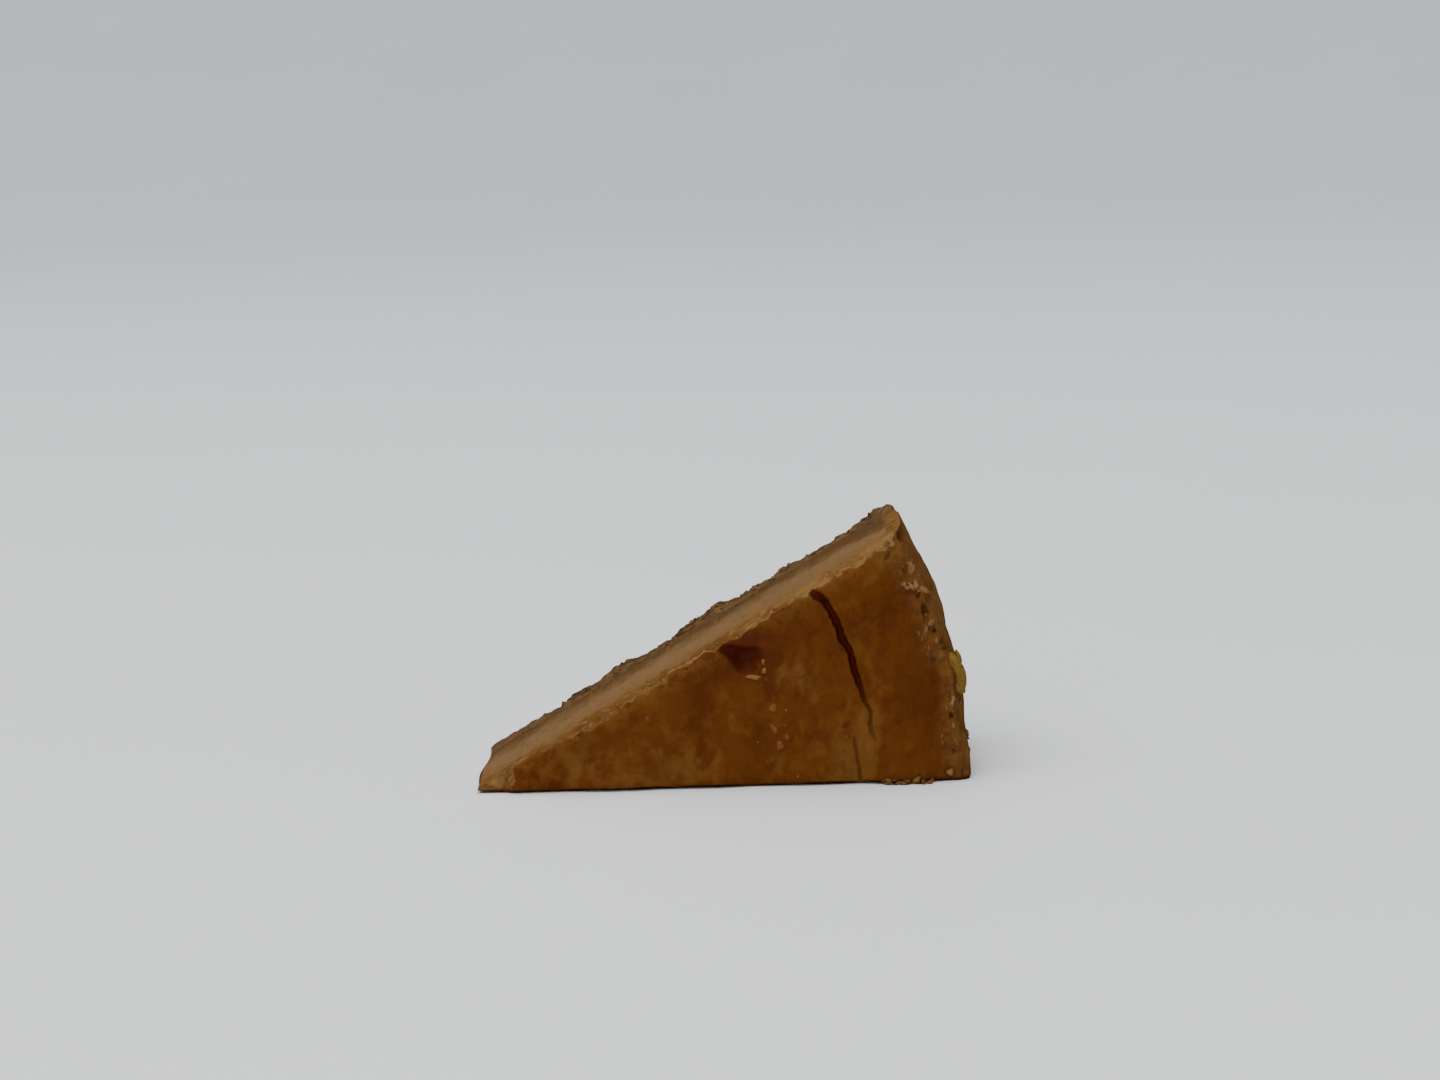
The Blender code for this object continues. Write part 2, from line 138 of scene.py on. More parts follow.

# Lighter and darker patches of the browned top, those at the apex corner a painted highlight: X, Z, half
# width and half height in millimetres, amount
TINTS = (
    (90.6, 7, 3, 8, 1.5), (82.5, 9, 6, 8, 0.35), (34, 6.5, 12, 6, 0.6), (110.8, 12, 2.2, 12, 0.6),
    (60, 19, 4, 6, 0.45), (76.5, 14, 3, 4.5, 0.1), (88.8, 34, 2.6, 8, 0.45), (92, 46, 3, 4, 0.3),
    (76.5, 43.6, 3.6, 1.6, 1), (96.5, 51.5, 3, 3.5, 0.9), (40, 20.5, 3.2, 1.8, 0.3),
    (48.5, 24, 2.6, 2.6, 0.3), (50, 4.5, 6, 4.5, 0.7), (50, 14.5, 3, 2.5, 0.3), (24.3, 6, 2.4, 4, 0.9),
    (85.5, 5, 2.2, 6, 1.1), (84.8, 15.5, 2.2, 3, 0.35), (76, 26, 2.6, 4.2, 1), (71, 25, 2, 5, 0.6),
    (92.2, 26.3, 1.8, 2.5, 0.5), (94.2, 48, 2.2, 3, 0.5), (92, 17, 2.6, 4.5, 0.6),
    (102, 47.5, 2.6, 5, 1.2), (70.5, 6.5, 2.6, 3.4, 0.7), (103, 24, 5.5, 10, -0.5),
    (107, 21, 1.8, 4.5, -0.5), (97, 39, 5, 7, -0.4), (53.5, 21, 4.5, 7, -0.8), (67, 13, 2, 8, -0.4),
    (72, 33, 3.5, 5, -0.5), (83, 36, 5, 8, -0.3), (104, 9, 4, 9, -0.3), (13, 6.5, 4, 2.5, -0.1),
    (20, 5.5, 2.4, 2.4, -0.15), (15.8, 4, 1.8, 4, 0.3), (34, 2.5, 4, 2, 0.5), (45, 2, 4, 2, 0.4),
    (47.5, 13.5, 4, 3.5, 0.3), (73.5, 30, 2.2, 3, 0.4), (79.5, 22, 2.4, 3, 0.4), (104, 2.5, 3, 1.8, 0.5),
    (78.5, 46.8, 5, 2.2, 1.4), (91.5, 53.3, 4, 2.2, 1), (97, 56.3, 2.5, 2, 1),
    (109.6, 25.2, 1.9, 3.6, 1.8), (91, 42.5, 3.5, 3, -0.4), (98.5, 28, 3, 3.5, -0.35),
    (105.5, 16, 3, 4, -0.3), (38, 17, 3, 2.2, -0.8), (26.5, 15.5, 3.2, 2.2, -0.6),
    (45, 26.8, 3.2, 1.3, -0.7), (80.5, 22.5, 1.6, 1.8, -0.5), (78, 32.5, 1.6, 2.2, -0.4),
    (73.3, 38.2, 2.6, 2, -0.5), (66, 35.2, 4.5, 1.6, -0.8), (59.5, 34, 3.2, 1.6, -1.8),
    (60, 6, 2, 4.5, -0.3), (55.5, 7, 2.2, 5, 0.4), (47.5, 11, 2.2, 2.5, 0.3), (56, 28.5, 7, 3.5, -1.1),
    (64.5, 39, 3.5, 1.6, 0.9), (37.5, 23, 3, 1.6, 0.7), (105, 44.5, 1.6, 4, 1.3), (99.8, 54, 1.4, 2, 0.8),
    (100, 40.5, 3, 3, -0.3), (73, 40.8, 3.6, 1.6, -1), (104, 37, 2.4, 4.5, -0.5),
    (79, 16, 2.4, 3.5, -0.5), (64, 22, 2.6, 5, -0.35), (40.5, 23, 3, 2, 0.9), (23, 3, 3, 1.4, 0.3),
    (18, 7, 1.3, 3, 0.35), (20.5, 5.6, 1.6, 1.6, -0.3), (79.5, 20, 2.6, 2, 0.4), (107, 27, 1.4, 2.4, 0.5),
    (107.5, 20, 1.4, 2.6, -0.5),
)

# Flakes of skin that stand out of the rim, and the lumps of olive gold crumb that hang on it:
# X, Z, depth, half width, half height, half depth in millimetres, turn in degrees. The flake at the
# apex corner, at X 96.7, is raised like the others and pale as a painted highlight.
RIM_FLAKES = (
    (101.9, 49.3, 0.2, 0.65, 1.6, 0.45, 6), (100.9, 45.4, 0, 1.4, 0.65, 0.45, 12),
    (102.8, 45.4, 0.1, 0.65, 1.2, 0.45, -14), (104.5, 44.2, 0.4, 1.2, 0.55, 0.45, 24),
    (106, 36.8, 0.6, 0.45, 0.85, 0.45, 10), (96.7, 55.2, 0.4, 1, 0.6, 0.6, 20),
    (109.6, 1.9, 0.4, 0.8, 0.8, 0.7, 0),
)
CHUNK = (
    (111.5, 26.6, 3, 1.35, 3, 2.2, -24), (112.5, 23.4, 3.2, 1.45, 3, 2.3, -8),
    (112.6, 21.4, 2.8, 1.3, 1.6, 1.9, 0),
)

# Pale crumbs on the browned top: X, Z, half width, half height in millimetres, turn in degrees
FACE_CRUMBS = (
    (65.4, 25.9, 1.7, 0.45, 4), (67.9, 27.4, 0.7, 0.5, -40), (67.8, 29.5, 0.35, 0.6, 0),
    (10.2, 3.4, 0.55, 1.3, 24),
)

# Rises of the base's back edge above a straight line, in millimetres along the upper cut and up
BACK_EDGE = (
    (0, 0), (14, 0), (22, -0.5), (25, 0.4), (31, -0.1), (38, 0.65), (41.5, 0.45), (46, -0.45), (53, -0.5),
    (56, 0.5), (60, 0.6), (63, 0.5), (66, 1.3), (69, 0.6), (72, -0.55), (76, 0), (81, -0.4), (85, 0.3),
    (90, -0.45), (97, -0.6), (103, -0.35), (107, 0.3), (113.5, 0.8),
)

# Crumbs fused to the foot of the browned top: X, depth, three half sizes in millimetres
FOOT_CRUMBS = (
    (95.6, -0.2, 1.5, 1.1, 0.75), (98, -0.6, 1.2, 1, 0.7), (100.3, -0.4, 1.9, 1.2, 0.8),
    (103.2, -0.3, 1.6, 1.1, 0.8), (105.4, 0.1, 0.9, 0.8, 0.6),
)

# Grids along the radius, the depth and the angle: the number of steps, and where its lines
# crowd together, each crowd with its middle, its width and its pull
FILLING_GRID = (
    (286, ((0.815, 0.022, 1.8), (0.61, 0.05, 0.4), (0.95, 0.06, 0.9), (0.0, 0.02, 2.0))),
    (62, ((0.0, 0.12, 3.0), (1.0, 0.02, 1.0))),
    (160, ((1.0, 0.05, 1.6), (0.0, 0.03, 0.8))),
)
BASE_GRID = (
    (270, ((0.0, 0.02, 2.0), (1.0, 0.03, 0.8))),
    (28, ((0.0, 0.08, 1.0), (1.0, 0.08, 1.0))),
    (150, ((1.0, 0.04, 1.2),)),
)

# Seeds of the random draws, one for each scatter of crumbs or cluster of lumps
SEEDS = {
    "base_crumbs": 7,
    "rim_flakes": 51,
    "rim_crumbs": 52,
    "rim_chunk": 53,
    "skin_crumbs": 11,
    "foot_crumbs": 54,
    "torn_edge_crumbs": 17,
}

# Lights: size in metres, place and aim. The world's light is a little cooler than white.
KEY_LIGHT = (2.75, (-0.625, -0.5, 2.5), (0.0, 0.0, 0.0))
FRONT_LIGHT = (0.9, (-0.45, -1.1, 0.55), (0.0, 0.0, 0.03))
WORLD_COLOUR = (0.95, 0.97, 1.0, 1.0)

# The floor is flat out to one radius and becomes a wall at another, in metres
FLOOR_FLAT = 2.4
FLOOR_REACH = 5.5
WALL_HEIGHT = 3.2

# The photograph's view: the camera's place from the slice's tip, its turns, its lens and its sensor,
# with lengths in millimetres
CAMERA_PLACE = (68.8, -663.0, 162.6)
CAMERA_PITCH = radians(9.04)
CAMERA_YAW = radians(-0.83)
CAMERA_ROLL = radians(-1.83)
CAMERA_LENS = 75.0
CAMERA_SENSOR = 36.0


def blend(value, start, end):
    """Smooth step from 0 at start to 1 at end."""
    share = np.clip((value - start) / (end - start), 0.0, 1.0)
    return share * share * (3.0 - 2.0 * share)


def hill(value, middle, width):
    """A bell of height 1 at middle, about two widths across."""
    return np.exp(-(((value - middle) / width) ** 2))


def hashed(cells, seed):
    """A fixed value from 0 to 1 for each whole-number point, mixed from its coordinates by odd factors."""
    mixed = cells[0] * 374761393 + cells[1] * 668265263 + cells[2] * 1274126177 + seed * 974634777
    for shift in (15, 13):
        mixed = ((mixed ^ (mixed >> shift)) * 2246822519) & 0xFFFFFFFF
    return (mixed ^ (mixed >> 16)) / 0xFFFFFFFF


def lattice(grain, coordinates):
    """Places counted in grains, and the whole-number cells that they lie in."""
    places = [np.asarray(value / grain + 400.0) for value in np.broadcast_arrays(*coordinates)]
    return places, [np.floor(place).astype(np.int64) for place in places]


def noise(grain, seed, x, y=0.0, z=0.0):
    """Smooth noise from about -1 to 1.

    Each point of a lattice, one grain apart, has a fixed random slope, and smooth steps join them.
    """
    places, cells = lattice(grain, (x, y, z))
    offsets = [place - cell for place, cell in zip(places, cells)]
    shares = [offset**3 * (offset * (offset * 6.0 - 15.0) + 10.0) for offset in offsets]
    total = 0.0
    for corner in product((0, 1), repeat=3):
        corner_cells = [cell + step for cell, step in zip(cells, corner)]
        weight = 1.0
        slope = 0.0
        for axis in range(3):
            weight = weight * (shares[axis] if corner[axis] else 1.0 - shares[axis])
            lean = 2.0 * hashed(corner_cells, 3 * seed + axis) - 1.0
            slope = slope + lean * (offsets[axis] - corner[axis])
        total = total + weight * slope
    return 1.9 * total


def layered(layers, x, y=0.0, z=0.0):
    """A sum of smooth noises, each given by its height, its grain and its seed."""
    return sum(height * noise(grain, seed, x, y, z) for height, grain, seed in layers)


def cell_points(grain, seed, x, y, z):
    """Each cell of a lattice holds one random point, which has a value.

    Returns the distances, in grains, to the nearest and the second nearest point, and the
    nearest one's value.
    """
    places, cells = lattice(grain, (x, y, z))
    nearest = np.full(places[0].shape, 9.0)
    second = nearest
    own = np.zeros(places[0].shape)
    for step in product((-1, 0, 1), repeat=3):
        near_cells = [cell + shift for cell, shift in zip(cells, step)]
        squared = 0.0
        for axis in range(3):
            point = near_cells[axis] + 0.1 + 0.8 * hashed(near_cells, 5 * seed + axis)
            squared = squared + (places[axis] - point) ** 2
        distance = np.sqrt(squared)
        closer = distance < nearest
        second = np.where(closer, nearest, np.minimum(second, distance))
        own = np.where(closer, hashed(near_cells, 5 * seed + 3), own)
        nearest = np.minimum(nearest, distance)
    return nearest, second, own


def crumbs(grain, seed, x, y, z=0.0):
    """Rounded crumbs from 0 to 1, and each one's own value.

    A dome stands over each cell's point, uneven in height, with creases between the domes.
    """
    nearest, second, own = cell_points(grain, seed, x, y, z)
    dome = 1.0 - np.clip(nearest / 0.85, 0.0, 1.0) ** 2
    crease = blend(second - nearest, 0.0, 0.3)
    return dome * (0.45 + 0.55 * own) * (0.5 + 0.5 * crease), own


def pores(grain, seed, x, y, edges, rarity):
    """Small round holes round the cell points whose value is above rarity: 1 inside and 0 outside.

    The edges are the distances from the point, in grains, at which a hole begins and is full.
    """
    nearest, _, own = cell_points(grain, seed, x, y, 0.0)
    return blend(nearest, *edges) * (own > rarity)


def layer_line(radius, angle):
    """Depth of the join between the filling and the base, which waves a little."""
    return FILLING_DEPTH + 0.5 * np.sin(radius / 6.1 + 0.7) + 0.3 * np.sin(radius / 2.9 - 3.0 * angle)


def base_back(radius, angle):
    """Depth of the base's back, which is flat."""
    return CAKE_HEIGHT


def browned_face(radius, angle):
    """Depth of the browned top.

    It has broad swells, a raised ring outside the crack, a broken tip and a worn rim.
    """
    x = radius * np.cos(angle)
    z = radius * np.sin(angle)
    swell = 0.40 * np.sin(x / 9.7 + z / 14.3 + 0.6)
    swell += 0.25 * np.sin(x / 3.7 - z / 4.9 + 1.9)
    swell += 0.15 * np.sin(z / 2.7 + x / 6.4)
    ring = blend(radius, 92.3, 96.3) * blend(radius, 107.0, 101.0)
    broken_tip = blend(radius, TIP_CRUMBLED, TIP_CRUMBLED - 3.0)
    worn_rim = blend(radius, *RIM_WORN)
    return swell - 0.6 * ring + 1.3 * broken_tip + 1.1 * worn_rim


def outer_radius(angle, depth):
    """The side of the cake: a soft barrel, rounded over where it meets the browned top."""
    fullness = 0.55 + 0.45 * blend(angle, 0.0, SLICE_ANGLE)
    barrel = SIDE_BULGE * fullness * np.sin(pi * np.clip(depth / CAKE_HEIGHT, 0.0, 1.0) ** 0.75)
    rounding = RIM_ROUNDING * blend(depth, RIM_ROUNDING_DEPTH, 0.0) ** 2
    wobble = 0.35 * np.sin(31.0 * angle + depth / 7.0)
    return CAKE_RADIUS + barrel - rounding + wobble


def tip_radius(depth):
    """How far the tip is worn back from the sharp point."""
    return TIP_BLUNT + 0.5 * np.sin(depth / 5.3 + 1.0)


def tip_nose(along):
    """How far the heights have spread from one, at the tip, to all of them: a rounded nose."""
    return np.sqrt(blend(along, 0.0, 0.012))


def layer_place(along, across, up, near, far):
    """Where the shares of a layer place a point.

    The shares run between tip and side, between the depths near and far, which are functions of
    radius and angle, and between floor and upper cut. Returns the radius and the depth, and the
    depth of the front and the radius of the side there.
    """
    angle = up * SLICE_ANGLE
    radius = TIP_BLUNT + along * (CAKE_RADIUS - TIP_BLUNT)
    front = near(radius, angle)
    depth = front + across * (far(radius, angle) - front)
    inner = tip_radius(depth)
    outer = outer_radius(angle, depth)
    return inner + along * (outer - inner), depth, front, outer


def torn_drop(radius, depth, drop):
    """How far the upper cut side sinks towards the browned top, where the knife tore the skin."""
    ragged = 1.0 + 0.30 * noise(5.2, 5, radius) + 0.22 * noise(1.9, 6, radius, depth)
    near_top = blend(depth, TORN_EDGE_DEPTH, 0.0) * blend(radius, 12.0, 38.0)
    return drop * ragged * near_top * (1.0 - 0.35 * blend(radius, 68.0, 78.0))


def floor_lift(radius, depth):
    """How far the lower cut side rises at its front edge and under the tip."""
    near_top = blend(depth, FLOOR_EDGE_DEPTH, 0.0) ** 2
    under_tip = 0.6 * blend(radius, 12.0, 4.0) * blend(depth, 9.0, 3.0)
    return FLOOR_EDGE_LIFT * near_top * blend(radius, 1.0, 16.0) + under_tip


def crack_trench(x, z, table, width, seed):
    """Depth of a crack, how far a point lies inside it, and how far on its lips.

    Its middle, half width and depth at a height are read off between the rows of its table, and
    the half width is multiplied by width. Across the crack the trench is a half ellipse, noise
    makes its edges jagged, and the skin is curled up beside it.
    """
    middles, heights, halves, depths = np.array(table).T
    half = np.interp(z, heights, halves) * width * (1.0 + 0.22 * noise(1.1, seed, 0.5 * x, z))
    deepest = np.interp(z, heights, depths)
    across = np.abs(x - np.interp(z, heights, middles) - 0.10 * noise(1.6, seed + 1, z))
    reach = across / np.maximum(half, 0.01)
    trench = deepest * np.sqrt(np.clip(1.0 - reach**2, 0.0, 1.0))
    lips = hill(across - half, 0.5, 0.55) * blend(deepest, 0.8, 2.5) * blend(half, 0.1, 0.4)
    inside = blend(reach, 1.3, 0.7) * blend(half, 0.0, 0.25) * (0.5 + 0.5 * blend(deepest, 0.4, 2.6))
    return trench - 0.3 * lips, inside, lips


def dent(x, z, place, ragged, power=0.6, corners=(0.13, 0.9)):
    """Share from 0 at the edge of an oval dent to 1 at its middle.

    The place gives X, Z, half sizes and turn. Three corners stand out of the oval by a share,
    turned by an angle, and its edge is ragged.
    """
    middle_x, middle_z, half_x, half_z, turn = place
    tilt = radians(turn)
    across = ((x - middle_x) * cos(tilt) - (z - middle_z) * sin(tilt)) / half_x
    up = ((x - middle_x) * sin(tilt) + (z - middle_z) * cos(tilt)) / half_z
    edge = 1.0 + corners[0] * np.cos(3.0 * np.arctan2(up, across) + corners[1]) + ragged
    return np.clip(1.0 - (np.hypot(across, up) / edge) ** 2, 0.0, 1.0) ** power


def face_relief(x, z, form):
    """Depth added to the browned top, and its shares: crack shade, bubble and mark.

    It has bumps, wrinkles, pores, raised and sunk marks, the burst bubble and the cracks. The
    crack shade is painted shade, dark red inside the cracks. The bubble share is painted shade in
    the bubble and the crack's broken head, less on the bubble's lower right wall where light falls,
    with a dark red halo above the bubble. The mark runs from -1, dark, to 1, pale; pores are painted
    darker, painted shade, and the cracks' curled lips a little paler, a painted highlight.
    """
    radius = np.hypot(x, z)
    crumbled = blend(radius, TIP_CRUMBLED + 2.0, TIP_CRUMBLED - 2.0)
    worn = blend(radius, *RIM_WORN)
    pore = pores(4.2, 8, x, z, (0.15, 0.05), 0.6)
    depth = layered(((0.26, 4.5, 2), (0.07, 0.9, 4)), x, z) + 0.12 * noise(1.7, 3, 1.6 * x, 0.7 * z)
    depth = depth + 0.4 * pore + worn * layered(((0.50, 2.6, 9), (0.30, 1.1, 10)), x, z)
    depth = depth - 0.5 * crumbled * crumbs(1.5, 11, x, z)[0]
    ragged = 0.10 * noise(2.2, 21, x, z)
    # Pores are painted darker: painted shade in the holes.
    mark = -0.5 * pore
    for *place, deep, tone in MARKS:
        share = dent(x, z, place, ragged)
        depth = depth + deep * share
        mark = mark + tone * blend(share, 0.0, 0.75)
    bubble = dent(x, z, BUBBLE, ragged, 0.8, BUBBLE_CORNERS)
    depth = depth + (BUBBLE_DEPTH - 0.3 * noise(1.8, 12, x, z)) * bubble
    bubble_x, bubble_z, half_x, half_z, _ = BUBBLE
    lit = blend((x - bubble_x) / half_x - (z - bubble_z) / half_z, -0.4, 1.3)
    red = 0.65 * hill(x, bubble_x + 0.6, 6.0) * hill(z, bubble_z + 3.4, 2.8)
    head = dent(x, z, CRACK_HEAD, ragged)
    # The crack shade share paints the inside of the cracks dark red: painted shade in the trenches.
    hollow = 0.0
    for table, width, seed in ((CRACK, form.crack_width, 30), (HAIRLINE, form.hairline_width, 34)):
        trench, inside, lips = crack_trench(x, z, table, width, seed)
        depth = depth + trench
        # The curled lips are painted a little paler: a painted highlight.
        mark = mark + 0.15 * lips
        hollow = np.maximum(hollow, inside * (1.0 - 0.7 * blend(head, 0.2, 0.8)))
    # Painted shade in the burst bubble, less on its lower right wall where light falls, a dark red halo above
    # it, and painted shade in the crack's broken head.
    dark = blend(bubble, 0.02, 0.55) * (1.0 - 0.45 * lit)
    shares = {
        "hollow": hollow,
        "bubble": np.maximum.reduce([dark, red, 0.9 * blend(head, 0.0, 0.8)]),
        "mark": np.clip(mark, -1.0, 1.0),
    }
    return depth, shares


def face_tint(x, z):
    """How much lighter, above 0, or darker, below 0, the skin is at a place on the browned top; at the apex
    corner the lighter patches are a painted highlight.
    """
    return sum(
        amount * hill(x, middle_x, half_x) * hill(z, middle_z, half_z)
        for middle_x, middle_z, half_x, half_z, amount in TINTS
    )


def cut_relief(radius, depth, form):
    """Height added to the upper cut side, and its torn share and mark.

    The knife left low waves, smears and a few small pores. Near the browned top, for about 6 mm
    and ragged along the radius, the crumb is torn into ridges and grains, and a strip of skin is
    lifted in front of a crease. The mark is a painted highlight on the crests and on the strip's
    edge, and painted shade in the creases and the pores.
    """
    reach = 6.0 + layered(((2.4, 9.0, 13), (1.4, 2.7, 14)), radius)
    torn = blend(depth, reach + 2.0, reach - 2.5)
    pore = pores(3.0, 18, radius, depth, (0.20, 0.06), 0.75)
    height = layered(((0.35, 8.0, 15), (0.22, 3.6, 48), (0.08, 1.0, 17)), radius, depth)
    height = height + 0.12 * noise(2.2, 16, 0.5 * radius, depth) - 0.30 * pore
    crests = 1.0 - 2.2 * np.abs(noise(3.4, 40, 0.55 * radius + 0.25 * depth, depth))
    folds = 0.8 * crests + 0.7 * noise(1.6, 44, 0.8 * radius, depth)
    grain = crumbs(1.3, 19, radius, depth)[0] - 0.35
    ridges = 0.75 * folds + 0.25 * grain + 0.20 * noise(0.7, 20, radius, depth)
    strip = blend(radius, 43.0, 48.0) * blend(radius, 68.0, 63.0)
    wander = depth - 0.5 * noise(6.0, 45, radius)
    edge = hill(wander, 0.8, 1.1)
    crease = hill(wander, 3.2, 0.9)
    height = height + torn * form.torn_crumb / MM * ridges + strip * (0.8 * edge - 0.9 * crease)
    # Painted highlight on the crests and the strip's edge, painted shade in the creases and pores.
    mark = torn * np.clip(0.55 * folds, -0.7, 0.7) + strip * (0.4 * edge - 0.8 * crease) - 0.4 * pore
    return height, torn, mark


def rim_relief(height, below, depth):
    """Radius added to the cake's side, and its wedge share and mark.

    The side is a crust with soft ripples and small dents, given by its height and by how far it
    lies below the upper cut. A wedge of it broke away beside the cut's end; its share paints the
    crevice dark red, painted shade. The mark is darker in the small dents, painted shade.
    """
    pore = pores(5.0, 24, height, depth, (0.19, 0.05), 0.5)
    wedge = hill(below, 1.6, 1.3) * blend(depth, 2.0, 4.5) * blend(depth, 13.0, 7.0)
    ragged = 0.4 * blend(depth, 5.0, 1.0) * noise(2.4, 25, height, depth)
    ripple = layered(((0.25, 7.0, 22), (0.12, 2.2, 23)), height, depth)
    # The small dents are painted darker: painted shade.
    mark = 0.25 * noise(3.2, 46, height, depth) - 0.5 * pore
    return ripple + ragged - 0.5 * pore - 0.9 * wedge, wedge, mark


def skin_border(radius, x, z, below, behind, on_face, on_cut):
    """Share of skin on the browned top, and of the pale border along it.

    The skin ends at a ragged line just below the upper cut, and at the crumbled tip. The pale border
    is a painted highlight on the ridge where skin and torn crumb meet; it follows that line, broken
    by noise, and is fainter towards the tip.
    """
    ragged = 0.8 * noise(6.0, 28, radius) + 0.8 * noise(2.2, 26, radius, 0.4 * z)
    less = 0.8 * blend(radius, 54.0, 60.0) + 0.3 * blend(radius, 70.0, 79.0)
    less = less * blend(radius, 105.0, 98.0) + 1.2 * hill(radius, 70.0, 5.0)
    line = np.maximum(0.6 + ragged - less, 0.0) * blend(radius, 8.0, 34.0)
    soft = 0.7 + 0.5 * noise(7.0, 47, radius)
    tip_line = TIP_CRUMBLED + 1.5 * noise(3.0, 27, x, z)
    skin = on_face * blend(below, line - soft, line + soft) * blend(radius, tip_line - 1.5, tip_line + 1.5)
    # The border's share: a painted highlight on the ridge at the skin's edge.
    border_highlight = hill((below - line) * on_face + behind * on_cut, -0.2, 0.7) * np.maximum(on_face, on_cut)
    broken = blend(noise(3.1, 49, radius), -0.5, 0.3)
    return skin, border_highlight * broken * (0.35 + 0.65 * blend(radius, 45.0, 85.0))


def filling_surface(along, across, up, form):
    """The filling as a function of its shares along the radius, the depth and the angle.

    The shares place a point between tip and side, browned top and base, and floor and upper cut.
    Near each of these surfaces its own relief is added, and fades out inside it. At the tip all
    heights close to one, as a rounded nose. Returns the points and the shares that the material
    reads.
    """
    radius, depth, front, outer = layer_place(along, across, up, browned_face, layer_line)
    height = radius * SLICE_ANGLE
    low = np.minimum(floor_lift(radius, depth), 0.3 * height)
    high = np.maximum(height - torn_drop(radius, depth, form.torn_edge / MM), 0.7 * height)
    middle = (low + high) / 2
    lift = middle + (low - middle + up * (high - low)) * tip_nose(along)
    below = high - lift
    near_front = blend(depth - front, FILLING_RELIEF_DEPTH, 0.0)
    near_cut = blend(below, FILLING_RELIEF_DEPTH, 0.0) * blend(radius, 3.0, 12.0)
    near_rim = blend(outer - radius, FILLING_RELIEF_DEPTH, 0.0)
    cut_height, torn, cut_mark = cut_relief(radius, depth, form)
    rim_height, wedge, rim_mark = rim_relief(lift, below, depth)
    angle = (lift + near_cut * cut_height) / radius
    reach = radius + near_rim * rim_height
    x = reach * np.cos(angle)
    z = reach * np.sin(angle)
    face_depth, face = face_relief(x, z, form)
    edge = 0.35 * hill(below, 0.0, 0.7)
    foot = 0.5 * hill(lift, 0.0, 0.9) * blend(radius, 4.0, 14.0)
    depth = depth + near_front * (face_depth * blend(lift, 0.0, 1.5) + edge + foot)
    behind = depth - front

    on_face = blend(across, 0.012, 0.0)
    on_cut = blend(up, 0.995, 1.0) * (across > 0)
    on_rim = blend(along, 0.997, 1.0)
    on_side = on_rim * (1.0 - on_face)
    skin, border_highlight = skin_border(radius, x, z, below, behind, on_face, on_cut)
    shaded = 0.18 * blend(radius, 95.0, 110.0) * blend(depth, 8.0, 18.0)
    shaded = shaded + 0.06 * blend(radius, 55.0, 75.0) * blend(depth, 20.0, 27.0)
    dull = 0.7 * blend(radius, 64.0, 48.0) * blend(behind, 14.0, 9.0)
    tail = 1.0 - 0.9 * hill(radius, 71.0, 7.0)
    shares = {
        "skin": np.maximum(skin, on_side),
        "edge": on_face * blend(below, 5.0, 0.8) * tail,
        "side": on_side,
        "rim": on_face * blend(radius, 107.0, 111.0) * (1.0 - 0.8 * hill(lift, 25.0, 4.0)),
        # Painted shadow along the foot of the slice, where it meets the floor.
        "foot": blend(lift, 1.3, 0.5),
        "torn": np.maximum(torn, blend(outer - radius, 5.0, 2.5)),
        "deep": np.clip(depth / FILLING_DEPTH + shaded * on_cut, 0.0, 1.0),
        "tint": face_tint(x, z) * blend(behind, 12.0, 2.0) - dull * on_cut,
        "mark": face["mark"] * on_face + cut_mark * on_cut + rim_mark * on_side,
        # Painted highlight on the ridge along the skin's torn border.
        "border_highlight": border_highlight,
        # Painted shade inside the cracks.
        "hollow": face["hollow"] * on_face,
        # Painted shade in the bubble and the crack's head, and dark red painted shade in the crevice of the
        # rim's broken wedge.
        "bubble": np.maximum(face["bubble"] * on_face, 0.75 * wedge * on_rim),
    }
    return np.stack([TIP_X + x, TOP_Y + depth, np.maximum(z, 0.0)], axis=-1), shares


def base_surface(along, across, up, form):
    """The base as a function of its shares along the radius, the depth and the angle.

    It has the filling's outline, and coarse pressed crumbs on its upper cut, its side and its
    back. Returns the points and the shares that the material reads.
    """
    radius, depth, _, outer = layer_place(along, across, up, layer_line, base_back)
    high = radius * SLICE_ANGLE
    lift = high * (0.5 + (up - 0.5) * tip_nose(along))
    x = radius * np.cos(lift / radius)
    z = radius * np.sin(lift / radius)
    coarse, kind = crumbs(2.7, 31, x, depth, z)
    fine, fine_kind = crumbs(1.2, 32, x, depth, z)
    bumps = form.base_crumb / MM * (coarse + 0.4 * fine - 0.5) + 0.35 * noise(7.0, 33, x, depth, z)
    near_cut = blend(high - lift, BASE_RELIEF_DEPTH, 0.0) * blend(radius, 2.0, 10.0)
    near_rim = blend(outer - radius, BASE_RELIEF_DEPTH, 0.0)
    near_back = blend(across, 0.7, 1.0)
    not_front = blend(across, 0.0, 0.08)
    rise = np.interp(radius, *np.array(BACK_EDGE).T) * blend(across, 0.25, 0.85)
    lift = lift + near_cut * (0.55 * bumps + rise) * not_front
    corner = 0.9 * hill(high - lift, 0.0, 3.0) * blend(across, 0.1, 0.6)
    radius = radius + near_rim * (0.4 * bumps * not_front + corner)
    depth = depth + near_back * (0.45 * bumps - 0.7 * hill(high - lift, 0.0, 1.0))
    # The crumb share is lowered along the back edge of the upper cut, which paints the bumps there darker:
    # painted shade.
    worn = 0.3 * near_cut * blend(across, 0.5, 0.95)
    shares = {"crumb": 0.65 * coarse + 0.35 * fine - worn, "kind": 0.6 * kind + 0.4 * fine_kind}
    x = radius * np.cos(lift / radius)
    z = radius * np.sin(lift / radius)
    return np.stack([TIP_X + x, TOP_Y + depth, np.maximum(z, 0.0)], axis=-1), shares


